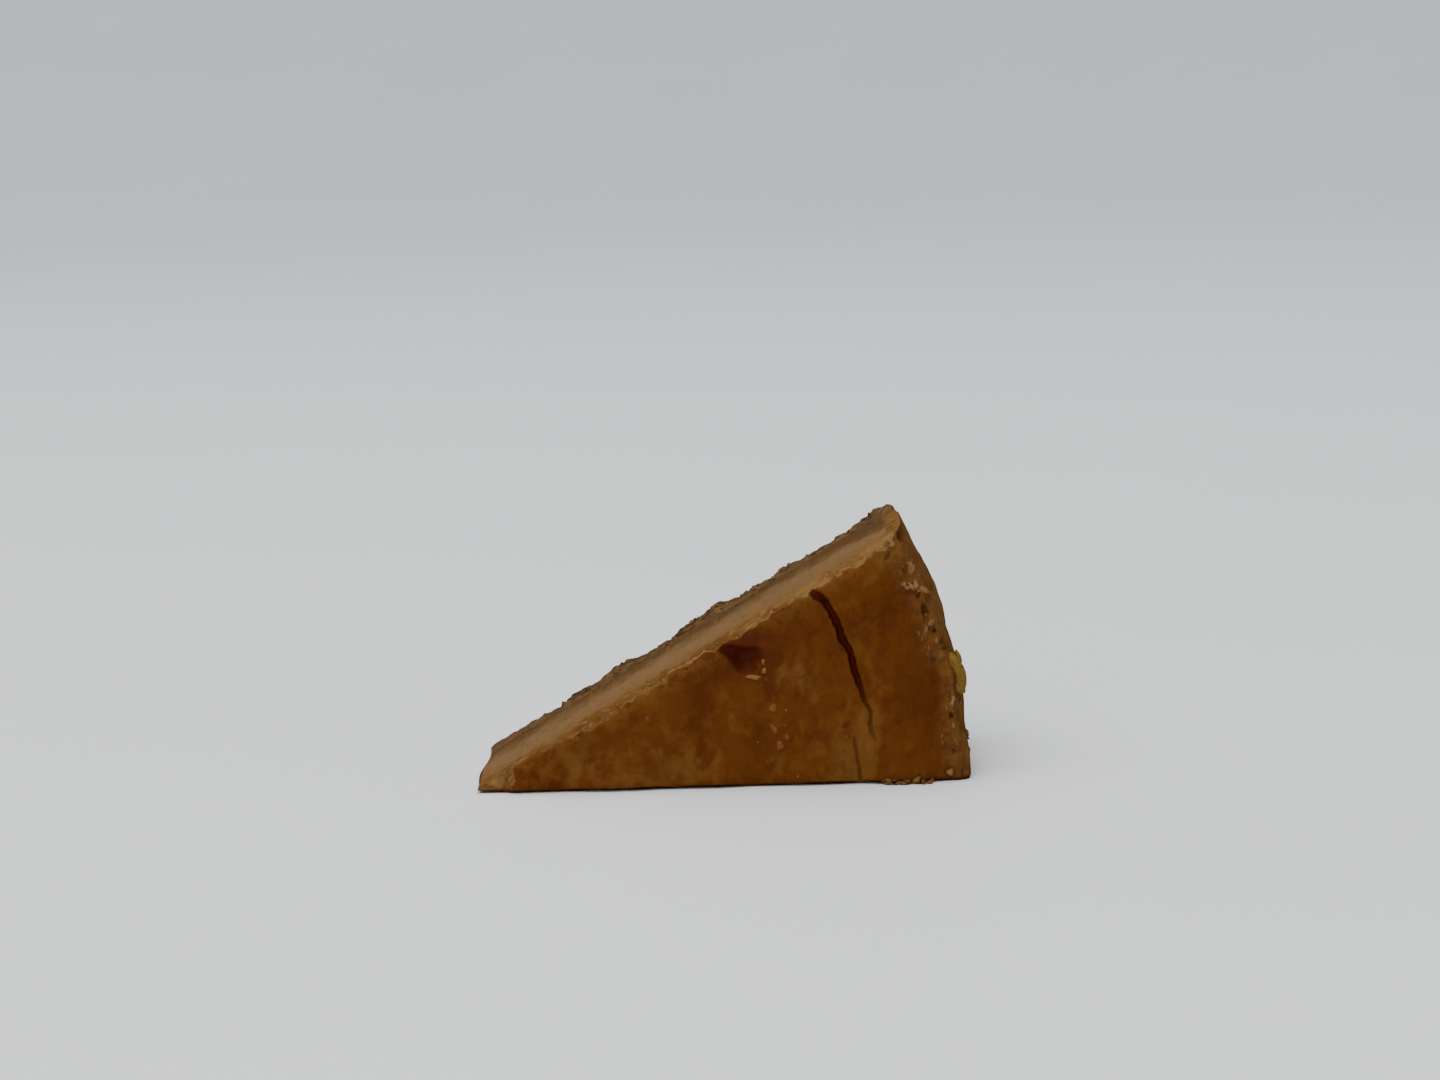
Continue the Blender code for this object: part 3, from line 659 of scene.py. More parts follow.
def crowded_lines(count, crowds):
    """Grid lines from 0 to 1 that stand closer round each crowd's middle."""
    places = np.linspace(0.0, 1.0, 6001)
    density = 1.0 + sum(pull * hill(places, middle, width) for middle, width, pull in crowds)
    reached = np.cumsum(density) - density[0]
    return np.interp(np.linspace(0.0, 1.0, count + 1), reached / reached[-1], places)


def squares(numbers):
    """The faces between neighbouring points of a grid of point numbers."""
    corners = (numbers[:-1, :-1], numbers[1:, :-1], numbers[1:, 1:], numbers[:-1, 1:])
    return np.stack([corner.ravel() for corner in corners], axis=1)


def block_shell(lines, hidden):
    """The closed skin of a block of grid lines: its points' three shares, and its faces.

    Its sides are grids that share their edge points. At the tip the heights are one point for each
    depth, so that the block ends in an edge. The side at depth line hidden, where the other layer
    covers it, is a fan round one middle point.
    """
    sizes = [len(line) for line in lines]
    kept = np.zeros(sizes, bool)
    for side in (np.s_[-1], np.s_[:, 0], np.s_[:, -1], np.s_[:, :, 0], np.s_[:, :, -1]):
        kept[side] = True
    kept[1:-1, hidden, 1:-1] = False
    kept[0, :, 1:] = False
    numbers = np.cumsum(kept.ravel()).reshape(sizes) - 1
    numbers[0] = numbers[0, :, :1]
    shares = [grid[kept] for grid in np.meshgrid(*lines, indexing="ij")]
    middle = len(shares[0])
    shares = [np.append(share, value) for share, value in zip(shares, (0.6, float(hidden != 0), 0.5))]
    shown = -1 if hidden == 0 else 0
    sides = [numbers[:, shown], numbers[-1], numbers[:, :, 0], numbers[:, :, -1]]
    ring = numbers[:, hidden]
    loop = np.concatenate([ring[:-1, 0], ring[-1, :-1], ring[:0:-1, -1]])
    fan = np.stack([loop, np.roll(loop, -1), np.full(len(loop), middle)], axis=1)
    return shares, [np.concatenate([squares(side) for side in sides]), fan]


def layer_piece(name, grid, hidden, surface, form):
    """One layer of the slice: the skin of its grid, carried onto its surface function."""
    shares, faces = block_shell([crowded_lines(*line) for line in grid], hidden)
    points, masks = surface(*shares, form)
    return closed_mesh(name, points, faces, masks)


def closed_mesh(name, points, faces, shares):
    """A mesh object from points in millimetres, groups of faces, and shares that become attributes.

    Corners that repeat are dropped from a face, and the faces are turned outwards.
    """
    whole = []
    for group in faces:
        repeated = group == np.roll(group, -1, axis=1)
        whole += group[~repeated.any(axis=1)].tolist()
        if group.shape[1] == 4:
            thin = repeated.sum(axis=1) == 1
            whole += group[thin][~repeated[thin]].reshape(-1, 3).tolist()
    mesh = bpy.data.meshes.new(name)
    mesh.from_pydata((points * MM).tolist(), [], whole)
    shell = bmesh.new()
    shell.from_mesh(mesh)
    bmesh.ops.recalc_face_normals(shell, faces=shell.faces)
    shell.to_mesh(mesh)
    shell.free()
    for key, values in shares.items():
        attribute = mesh.attributes.new(key, "FLOAT", "POINT")
        attribute.data.foreach_set("value", np.ascontiguousarray(values, dtype=np.float32))
    mesh.shade_smooth()
    return placed(name, mesh)


def placed(name, data):
    """An object that is in the scene."""
    item = bpy.data.objects.new(name, data)
    bpy.context.scene.collection.objects.link(item)
    return item


def turns(around_x, around_y, around_z):
    """Rotation matrices, one for each set of three angles."""
    matrices = np.broadcast_to(np.eye(3), (len(around_x), 3, 3))
    for axis, angles in enumerate((around_x, around_y, around_z)):
        first, second = (axis + 1) % 3, (axis + 2) % 3
        step = np.zeros((len(angles), 3, 3))
        step[:, axis, axis] = 1.0
        step[:, first, first] = np.cos(angles)
        step[:, second, second] = np.cos(angles)
        step[:, first, second] = -np.sin(angles)
        step[:, second, first] = np.sin(angles)
        matrices = step @ matrices
    return matrices


def clusters(table, count, spread, shrink, seed):
    """Breaks each lump of a table into a cluster of smaller ones inside its half sizes.

    The table's columns are a place, three half sizes and a turn. Returns the same columns, with
    count rows for each row: the places are drawn within spread of the half sizes, and the new half
    sizes are about shrink times the old ones.
    """
    draw = np.random.default_rng(seed)
    rows = np.repeat(table, count, axis=0)
    offset = draw.normal(0.0, 0.5, (len(rows), 3)).clip(-1.0, 1.0) * spread
    rows[:, :3] = rows[:, :3] + offset * rows[:, 3:6]
    rows[:, 3:6] = rows[:, 3:6] * shrink * draw.uniform(0.6, 1.3, (len(rows), 3))
    rows[:, 6] = rows[:, 6] + draw.uniform(-0.6, 0.6, len(rows))
    return rows


def uneven_balls(name, places, sizes, matrices, uneven, grid=(12, 8)):
    """One mesh of many uneven balls.

    Each is a function of longitude and latitude: a ball whose radius varies by smooth noise,
    stretched to its half sizes, turned by its matrix and moved to its place. Rings share their
    seam, and the poles are single points.
    """
    around, rings = grid
    longitudes = 2.0 * pi * np.arange(around) / around
    longitude, latitude = np.meshgrid(longitudes, pi * (np.arange(1, rings) / rings - 0.5))
    level = np.cos(latitude)
    ring_points = np.stack([level * np.cos(longitude), level * np.sin(longitude), np.sin(latitude)], axis=-1)
    ball = np.concatenate([ring_points.reshape(-1, 3), [[0.0, 0.0, -1.0], [0.0, 0.0, 1.0]]])
    south, north = len(ball) - 2, len(ball) - 1
    which = np.arange(len(places))
    x, y, z = ball.T
    rough = layered(((1.0, 0.9, 41), (0.4, 0.45, 42)), x + 7.31 * which[:, None], y, z)
    shaped = ball * (1.0 + uneven * rough)[..., None] * sizes[:, None, :]
    points = (places[:, None, :] + np.einsum("nij,nmj->nmi", matrices, shaped)).reshape(-1, 3)
    points[:, 2] = np.maximum(points[:, 2], 0.0)
    numbers = np.arange(south).reshape(rings - 1, around)
    wrapped = np.concatenate([numbers, numbers[:, :1]], axis=1)
    caps = [
        np.stack([wrapped[0, :-1], wrapped[0, 1:], np.full(around, south)], axis=1),
        np.stack([wrapped[-1, 1:], wrapped[-1, :-1], np.full(around, north)], axis=1),
    ]
    offsets = (which * len(ball))[:, None, None]
    faces = [(squares(wrapped) + offsets).reshape(-1, 4), (np.concatenate(caps) + offsets).reshape(-1, 3)]
    own = np.repeat(hashed([which, 0 * which, 0 * which], 43), len(ball))
    return closed_mesh(name, points, faces, {"own": own})


def face_points(x, z, form):
    """The points of the browned top at places given along X and Z from the slice's tip."""
    radius = np.hypot(x, z)
    angle = np.arctan2(z, x)
    inner = tip_radius(0.0)
    along = np.clip((radius - inner) / (outer_radius(angle, 0.0) - inner), 0.0, 1.0)
    return filling_surface(along, 0.0 * along, np.clip(angle / SLICE_ANGLE, 0.0, 1.0), form)[0]


def lump_table(rows):
    """A table of lumps with X, depth and Z for the places, then for the half sizes, and turns in radians."""
    table = np.array(rows)[:, (0, 2, 1, 3, 5, 4, 6)]
    table[:, 6] = np.radians(table[:, 6])
    return table


def lumps(name, table, uneven, grid):
    """One mesh of a table's lumps, which are turned in the browned top's plane."""
    still = 0.0 * table[:, 6]
    places = table[:, :3] + (TIP_X, TOP_Y, 0.0)
    return uneven_balls(name, places, table[:, 3:6], turns(still, table[:, 6], still), uneven, grid)


def crumb_sizes(draw, count, largest):
    """Half sizes of crumbs along three axes: many small ones and few near the largest."""
    return draw.uniform(0.3, 1.0, (count, 1)) ** 1.7 * largest * draw.uniform(0.7, 1.3, (count, 3))


def spins(draw, count):
    """A turn any way round for each crumb."""
    return turns(*draw.uniform(0.0, 2.0 * pi, (3, count)))


class Socket:
    """An output of a shader node. Python's operators on it add Math nodes."""

    def __init__(self, shader, output):
        self.shader = shader
        self.output = output

    def math(self, operation, first, second):
        """A Math node on two sockets or numbers."""
        return self.shader.node("ShaderNodeMath", {"operation": operation}, {0: first, 1: second})

    def __add__(self, other):
        return self.math("ADD", self, other)

    def __radd__(self, other):
        return self.math("ADD", other, self)

    def __sub__(self, other):
        return self.math("SUBTRACT", self, other)

    def __rsub__(self, other):
        return self.math("SUBTRACT", other, self)

    def __mul__(self, other):
        return self.math("MULTIPLY", self, other)

    def __rmul__(self, other):
        return self.math("MULTIPLY", other, self)

    def smooth(self, low, high):
        """Smooth step from 0 where the value is low to 1 where it is high."""
        settings = {"interpolation_type": "SMOOTHSTEP"}
        sockets = {"Value": self, "From Min": low, "From Max": high}
        return self.shader.node("ShaderNodeMapRange", settings, sockets)


class Shader:
    """A material under construction, ending in one Principled BSDF. Its sizes are in millimetres."""

    def __init__(self, name):
        self.material = bpy.data.materials.new(name)
        self.material.use_nodes = True
        self.tree = self.material.node_tree
        self.principled = self.tree.nodes["Principled BSDF"]
        self.point = self.node("ShaderNodeTexCoord", {}, {}, "Object")

    def node(self, kind, settings, sockets, output=0):
        """Adds a node: its settings first, then the values or links of its sockets."""
        node = self.tree.nodes.new(kind)
        for key, value in settings.items():
            setattr(node, key, value)
        by_identifier = {socket.identifier: socket for socket in node.inputs}
        for key, value in sockets.items():
            self.set(by_identifier.get(key) or node.inputs[key], value)
        return Socket(self, node.outputs[output])

    def set(self, socket, value):
        """Links a socket, or gives it a value."""
        if isinstance(value, Socket):
            self.tree.links.new(value.output, socket)
        elif hasattr(value, "__len__") and len(value) == 3 and socket.type == "RGBA":
            socket.default_value = (*value, 1.0)
        else:
            socket.default_value = value

    def finish(self, values):
        """Sets the Principled BSDF's sockets."""
        for key, value in values.items():
            self.set(self.principled.inputs[key], value)
        return self.material

    def place(self, stretch):
        """The object's own coordinates, multiplied along each axis."""
        return self.node("ShaderNodeVectorMath", {"operation": "MULTIPLY"}, {0: self.point, 1: stretch})

    def noise(self, size, detail, roughness, stretch=None):
        """Noise from 0 to 1 with features of one size."""
        place = self.place(stretch) if stretch else self.point
        sockets = {"Vector": place, "Scale": 1.0 / (size * MM), "Detail": detail, "Roughness": roughness}
        return self.node("ShaderNodeTexNoise", {}, sockets)

    def cells(self, size, stretch=None):
        """Distance, in cells, to the nearest point of a random cell pattern."""
        place = self.place(stretch) if stretch else self.point
        sockets = {"Vector": place, "Scale": 1.0 / (size * MM)}
        return self.node("ShaderNodeTexVoronoi", {}, sockets, "Distance")

    def share(self, name):
        """A share stored on the mesh's points."""
        return self.node("ShaderNodeAttribute", {"attribute_name": name}, {}, "Fac")

    def mix(self, first, second, factor):
        """A mix of two colours."""
        sockets = {"Factor_Float": factor, "A_Color": first, "B_Color": second}
        return self.node("ShaderNodeMix", {"data_type": "RGBA"}, sockets, 2)

    def cover(self, colour, *layers):
        """Lays colours over one another, each with its share."""
        for layer, factor in layers:
            colour = self.mix(colour, layer, factor)
        return colour

    def bump(self, height, distance, strength, below=None):
        """A bump of the given height, on top of another one."""
        sockets = {"Height": height, "Distance": distance * MM, "Strength": strength}
        if below is not None:
            sockets["Normal"] = below
        return self.node("ShaderNodeBump", {}, sockets)


def cheese_noises(shader):
    """The noises that skin, crust and cut face share.

    Drips run down the slice. Smears and drags run across it, the way of the knife.
    """
    return SimpleNamespace(
        grain=shader.noise(0.7, 4.0, 0.6),
        small=shader.noise(2.2, 4.0, 0.6),
        mottle=shader.noise(6.5, 4.0, 0.6),
        broad=shader.noise(16.0, 3.0, 0.5),
        blots=shader.noise(3.4, 3.0, 0.5, (1.0, 1.0, 0.7)),
        drips=shader.noise(3.2, 3.0, 0.5, (1.0, 1.0, 0.45)),
        smears=shader.noise(3.4, 3.0, 0.55, (1.0, 0.3, 1.0)),
        drags=shader.noise(1.2, 3.0, 0.6, (1.0, 0.07, 1.0)),
    )


def skin_colour(shader, tones, spots, tint):
    """Browned skin: dark and warm patches, olive where it baked lighter, and worn flecks at the rim."""
    fleck = (0.6 * spots.small + 0.4 * spots.drips).smooth(0.52, 0.64)
    return shader.cover(
        tones.skin_dark,
        (tones.skin, (0.4 * spots.broad + 0.6 * spots.mottle).smooth(0.40, 0.52)),
        (tones.skin_warm, spots.blots.smooth(0.50, 0.64) * 0.8),
        (tones.skin_olive, (tint + (spots.blots - 0.5) * 1.9).smooth(0.15, 1.0)),
        (tones.skin_dark, ((0.5 - spots.mottle) * 1.4 - tint).smooth(0.0, 0.9)),
        (tones.skin_dark, (0.5 * spots.drips + 0.5 * spots.small).smooth(0.50, 0.62) * 0.45),
        (tones.skin_olive, shader.share("edge") * spots.small.smooth(0.35, 0.60) * 0.7),
        (tones.side, shader.share("rim") * (0.30 + 0.60 * fleck)),
    )


def side_colour(shader, tones, spots, mark):
    """Side crust: darker patches and drips, more golden towards the base."""
    return shader.cover(
        tones.side_dark,
        (tones.side, (0.6 * spots.mottle + 0.4 * spots.small + 0.2 * mark).smooth(0.36, 0.58)),
        (tones.golden, shader.share("deep").smooth(0.10, 0.70) * spots.blots.smooth(0.35, 0.65) * 0.5),
        (tones.side_dark, (0.5 * spots.broad + 0.5 * spots.drips).smooth(0.50, 0.62) * 0.6),
    )


def cut_colour(shader, tones, spots, tint):
    """Upper cut: cream that is smeared and shaded towards the base, and golden torn crumb by the skin."""
    deep = shader.share("deep") + (spots.mottle - 0.5) * 0.35 + (spots.blots - 0.5) * 0.20
    cream = shader.cover(
        tones.golden,
        (tones.cream, deep.smooth(0.14, 0.46)),
        (tones.cream_olive, (0.7 * spots.smears + 0.3 * spots.mottle).smooth(0.46, 0.58) * 0.75),
        (tones.golden_dark, spots.smears.smooth(0.42, 0.30) * 0.2),
        (tones.cream_shade, deep.smooth(0.56, 1.0)),
        (tones.golden_dark, (0.5 * spots.small + 0.5 * spots.mottle).smooth(0.54, 0.70) * 0.25),
        (tones.golden_dark, (0.7 * spots.grain + 0.3 * spots.drags).smooth(0.54, 0.66) * 0.30),
        (tones.pale, (0.6 * spots.grain + 0.4 * spots.drags).smooth(0.47, 0.36) * 0.40),
    )
    clouds = 0.5 * spots.mottle + 0.5 * spots.blots
    torn = shader.cover(
        tones.golden,
        (tones.golden_dark, (0.5 * spots.small + 0.5 * spots.grain).smooth(0.48, 0.62) * 0.7),
        (tones.golden_dark, clouds.smooth(0.50, 0.60) * 0.55),
        (tones.pale, clouds.smooth(0.48, 0.38) * 0.45),
        (tones.golden_dark, (0.0 - tint).smooth(0.1, 1.0) * 0.7),
    )
    torn_share = (shader.share("torn") + (spots.small - 0.5) * 0.9).smooth(0.15, 0.90)
    # Where the tint is high the border highlight's colour is laid on: at the apex corner a painted highlight.
    return shader.cover(cream, (torn, torn_share), (tones.border_highlight, tint.smooth(0.2, 1.3) * 0.6))


def browned_cheese_material(tones):
    """Mottled browned skin and side, golden torn crumb, cream cut face, and dark red hollows."""
    shader = Shader("browned_cheese")
    spots = cheese_noises(shader)
    tint = shader.share("tint")
    mark = shader.share("mark")
    side = shader.share("side")
    skin_share = (shader.share("skin") + (spots.small - 0.5) * 0.7).smooth(0.25, 0.75)
    # Pores of the cut face are painted darker: painted shade in the holes.
    fine_pores = shader.cells(1.5, (1.0, 0.7, 1.0)).smooth(0.27, 0.10) * spots.blots.smooth(0.40, 0.56)
    coarse_pores = shader.cells(3.7).smooth(0.20, 0.10) * spots.mottle.smooth(0.44, 0.54)
    holes = (fine_pores + coarse_pores) * (1.0 - skin_share)
    spotted = mark + (spots.grain - 0.5) * 0.5
    # Painted highlight along the skin's border, stronger where the skin is lighter.
    border_highlight = shader.share("border_highlight") * (tint * 0.6 + 1.0) + (spots.grain - 0.5) * 0.4
    # Inside the cracks the colour is painted dark red: painted shade in the trenches.
    hollow = shader.share("hollow")
    inside = shader.mix(tones.pit, tones.hollow, hollow.smooth(0.62, 0.95))
    skin = shader.mix(skin_colour(shader, tones, spots, tint), side_colour(shader, tones, spots, mark), side)
    colour = shader.cover(
        cut_colour(shader, tones, spots, tint),
        (skin, skin_share),
        (tones.golden_dark, holes * 0.45),
        # Pale marks: flakes, and painted highlights on crests, the cracks' lips and the apex corner. Dark
        # marks: dark spots, and painted shade in creases and pores.
        (tones.flake, spotted.smooth(0.15, 0.95)),
        (tones.pit, (0.0 - spotted).smooth(0.15, 1.0)),
        (tones.border_highlight, border_highlight.smooth(0.3, 0.9) * 0.9),
        # Painted shadow along the foot of the slice.
        (tones.foot, shader.share("foot") * spots.mottle.smooth(0.30, 0.50)),
        (inside, hollow.smooth(0.05, 0.85)),
        # Painted shade in the bubble, the crack's head and the rim's broken wedge.
        (tones.bubble, shader.share("bubble")),
    )
    furrows = spots.drags * (1.0 - skin_share) * 0.6 - holes * 0.9
    rough_normal = shader.bump(spots.grain * 0.4 + spots.small * 0.6 + furrows, 0.45, 0.6)
    return shader.finish(
        {
            "Base Color": colour,
            "Roughness": 0.75 - skin_share * 0.20 + (spots.small - 0.5) * 0.25,
            "Normal": shader.bump(shader.noise(0.35, 2.0, 0.6), 0.12, 0.6, rough_normal),
            "Specular IOR Level": 0.0,
            "Coat Weight": skin_share * (1.0 - side) * 0.15,
            "Coat Roughness": 0.45,
            "Coat IOR": 1.35,
        }
    )


def date_biscuit_material(tones):
    """Pressed biscuit crumbs in dark date paste: each crumb has its tone, dates are dark, creases darker."""
    shader = Shader("date_biscuit")
    grain = shader.noise(0.8, 4.0, 0.6)
    small = shader.noise(1.7, 3.0, 0.6)
    patches = shader.noise(6.0, 3.0, 0.5)
    kind = shader.share("kind") * 0.35 + small * 0.7 + grain * 0.6 + patches * 0.4
    date = kind.smooth(0.98, 0.84)
    colour = shader.cover(
        tones.base,
        (tones.date, date),
        (tones.base_pale, kind.smooth(1.06, 1.24) * 0.8),
        (tones.base_dark, (shader.share("crumb") + (grain - 0.5) * 0.5).smooth(0.35, 0.05) * 0.7),
    )
    rough_normal = shader.bump(grain * 0.6 + patches * 0.4, 0.6, 0.6)
    normal = shader.bump(shader.noise(0.4, 2.0, 0.6), 0.15, 0.6, rough_normal)
    return shader.finish(
        {"Base Color": colour, "Roughness": 0.85 - date * 0.30, "Normal": normal, "Specular IOR Level": 0.03}
    )


def crumb_material(name, light, dark):
    """Small crumbs: each has its own tone between two colours, with a fine grain."""
    shader = Shader(name)
    grain = shader.noise(0.6, 4.0, 0.6)
    tone = shader.share("own") * 0.55 + grain * 0.6
    return shader.finish(
        {
            "Base Color": shader.mix(dark, light, tone.smooth(0.25, 0.85)),
            "Roughness": 0.80 - grain * 0.15,
            "Normal": shader.bump(grain, 0.3, 0.7),
            "Specular IOR Level": 0.03,
        }
    )


def floor_material(pale):
    """Plain pale floor with the faintest unevenness."""
    shader = Shader("pale_floor")
    shade = shader.mix(pale, tuple(0.96 * value for value in pale), shader.noise(180.0, 2.0, 0.5))
    return shader.finish({"Base Color": shade, "Roughness": 0.6, "Specular IOR Level": 0.3})


def keep(piece, material):
    """Gives a piece its material, and fixes it to the slice's one body."""
    piece.data.materials.append(material)
    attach(piece, "root")


def share_setting(name, description):
    """A setting that multiplies a real width."""
    return FloatProperty(name=name, description=description, default=1.0, min=0.0, max=2.0, subtype="FACTOR")


def length_setting(name, description, default, highest):
    """A length, given here in millimetres."""
    limits = {"default": default * MM, "min": 0.0, "max": highest * MM}
    return FloatProperty(name=name, description=description, unit="LENGTH", precision=5, **limits)


def count_setting(name, description, default):
    """A number of pieces."""
    return IntProperty(name=name, description=description, default=default, min=0)


def light_setting(name, description, default, unit="NONE"):
    """A light's power or strength."""
    return FloatProperty(name=name, description=description, default=default, min=0.0, unit=unit)


def colour_setting(name, description, default):
    """A colour."""
    limits = {"default": default, "min": 0.0, "max": 1.0}
    return FloatVectorProperty(name=name, description=description, size=3, subtype="COLOR", **limits)


class CheesecakeForm(bpy.types.PropertyGroup):
    """Sizes of the slice's cracks, torn edge and crumbs."""

    crack_width: share_setting("Crack width", "Width of the main crack, as a share of its real width")
    hairline_width: share_setting("Hairline width", "Width of the thin crack, as a share of its real width")
    torn_edge: length_setting("Torn edge", "How far the upper cut sinks towards the browned top", 1.3, 4.0)
    torn_crumb: length_setting("Torn crumb", "Height of the grains in the torn golden zone", 0.55, 2.0)
    base_crumb: length_setting("Base crumb", "Height of the coarse crumbs of the base", 1.0, 3.0)
    skin_crumbs: count_setting("Skin crumbs", "Small crumbs on the browned top", 7)
    rim_crumbs: count_setting("Rim crumbs", "Small flakes along the rim", 60)
    edge_crumbs: count_setting("Edge crumbs", "Crumbs along the torn edge", 60)
    base_crumbs: count_setting("Base crumbs", "Crumbs standing out of the base", 300)


class CheesecakeTones(bpy.types.PropertyGroup):
    """Colours of the slice."""

    skin: colour_setting("Skin", "Browned skin of the cake's top", (0.094, 0.0272, 0.0035))
    skin_dark: colour_setting("Skin, dark", "Darker baked patches of skin", (0.071, 0.0176, 0.0019))
    skin_warm: colour_setting("Skin, warm", "Orange brown patches of skin", (0.11, 0.0338, 0.0044))
    skin_olive: colour_setting("Skin, olive", "Lighter olive brown patches of skin", (0.125, 0.049, 0.0086))
    side: colour_setting("Side", "The cake's side crust and worn rim", (0.128, 0.058, 0.018))
    side_dark: colour_setting("Side, dark", "Darker patches of the side crust", (0.084, 0.0355, 0.0092))
    # Foot: painted shadow along the lowest edge of the browned top.
    foot: colour_setting("Foot", "Shadowed lowest edge of the browned top", (0.05, 0.011, 0.003))
    # Flake: pale flakes, and painted highlights on crests, on the cracks' lips and at the apex corner.
    flake: colour_setting("Flake", "Pale marks on skin and rim", (0.235, 0.115, 0.046))
    # Pit: dark marks, and painted shade in creases, pores and the shallow ends of the cracks.
    pit: colour_setting("Pit", "Dark marks and creases", (0.062, 0.019, 0.0024))
    # Painted shade inside the cracks.
    hollow: colour_setting("Hollow", "Inside the cracks", (0.112, 0.0155, 0.0055))
    # Bubble: painted shade in the burst bubble, the crack's head and the rim's broken wedge.
    bubble: colour_setting("Bubble", "Inside the burst bubble", (0.062, 0.0078, 0.0042))
    # Colour of the painted highlight along the skin's border.
    border_highlight: colour_setting("Border", "Ragged pale border between skin and torn crumb", (0.208, 0.118, 0.039))
    golden: colour_setting("Golden crumb", "Torn crumb next to the skin", (0.148, 0.0745, 0.0235))
    golden_dark: colour_setting("Golden crumb, dark", "Shaded torn crumb", (0.092, 0.037, 0.0085))
    cream: colour_setting("Cream", "Cut face of the filling", (0.16, 0.0892, 0.043))
    cream_olive: colour_setting("Cream, olive", "Greener patches of the cut face", (0.138, 0.088, 0.0345))
    cream_shade: colour_setting("Cream, shaded", "Cut face next to the base", (0.078, 0.042, 0.0165))
    pale: colour_setting("Pale crumb", "Pale crumbs and flakes", (0.22, 0.105, 0.04))
    chunk: colour_setting("Chunk", "Olive gold lump at the rim", (0.2, 0.119, 0.025))
    base: colour_setting("Base", "Biscuit and date base", (0.092, 0.049, 0.0195))
    base_dark: colour_setting("Base, dark", "Creases between the base's crumbs", (0.035, 0.016, 0.0055))
    base_pale: colour_setting("Base, pale", "Pale biscuit crumbs in the base", (0.14, 0.08, 0.033))
    date: colour_setting("Date", "Date pieces in the base", (0.049, 0.019, 0.0064))


class CheesecakeStage(bpy.types.PropertyGroup):
    """Floor and light of the studio."""

    floor: colour_setting("Floor", "Colour of the floor", (0.80, 0.81, 0.82))
    key: light_setting("Key light", "Power of the light overhead", 75.0, "POWER")
    front: light_setting("Front light", "Power of the light in front", 3.0, "POWER")
    around: light_setting("Light all round", "Strength of the world's light", 0.75)


class CheesecakeFilling(bpy.types.Operator):
    """Make the cheese filling with its browned skin, cracks and torn edge"""

    bl_idname = "cheesecake.filling"
    bl_label = "Browned filling"

    def execute(self, context):
        scene = context.scene
        piece = layer_piece("browned_filling", FILLING_GRID, -1, filling_surface, scene.cheesecake_form)
        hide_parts("cheese_filling")
        keep(piece, browned_cheese_material(scene.cheesecake_tones))
        return {"FINISHED"}


class CheesecakeBase(bpy.types.Operator):
    """Make the base of dates and biscuit crumbs"""

    bl_idname = "cheesecake.base"
    bl_label = "Crumb base"

    def execute(self, context):
        form = context.scene.cheesecake_form
        tones = context.scene.cheesecake_tones
        piece = layer_piece("date_crumb_base", BASE_GRID, 0, base_surface, form)
        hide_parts("date_biscuit_base")
        keep(piece, date_biscuit_material(tones))
        loose = crumb_material("date_biscuit_crumbs", tones.base_pale, tones.date)
        keep(self.base_crumbs(form), loose)
        return {"FINISHED"}

    def base_crumbs(self, form):
        """Crumbs that stand out of the base's upper cut, and a few smaller ones on its side."""
        draw = np.random.default_rng(SEEDS["base_crumbs"])
        count = form.base_crumbs
        along = draw.uniform(0.03, 1.0, count) ** 0.75
        across = draw.uniform(0.12, 0.97, count)
        on_side = draw.random(count) < 0.12
        along = np.where(on_side, 1.0, along)
        up = np.where(on_side, draw.uniform(0.04, 1.0, count), 1.0)
        middles = base_surface(along, across, up, form)[0]
        middles[:, 2] = np.maximum(middles[:, 2] - 0.35, 0.0)
        half = crumb_sizes(draw, count, 0.8) * np.where(on_side, 0.6, 1.0)[:, None]
        return uneven_balls("base_crumbs", middles, half, spins(draw, count), 0.6, (10, 7))


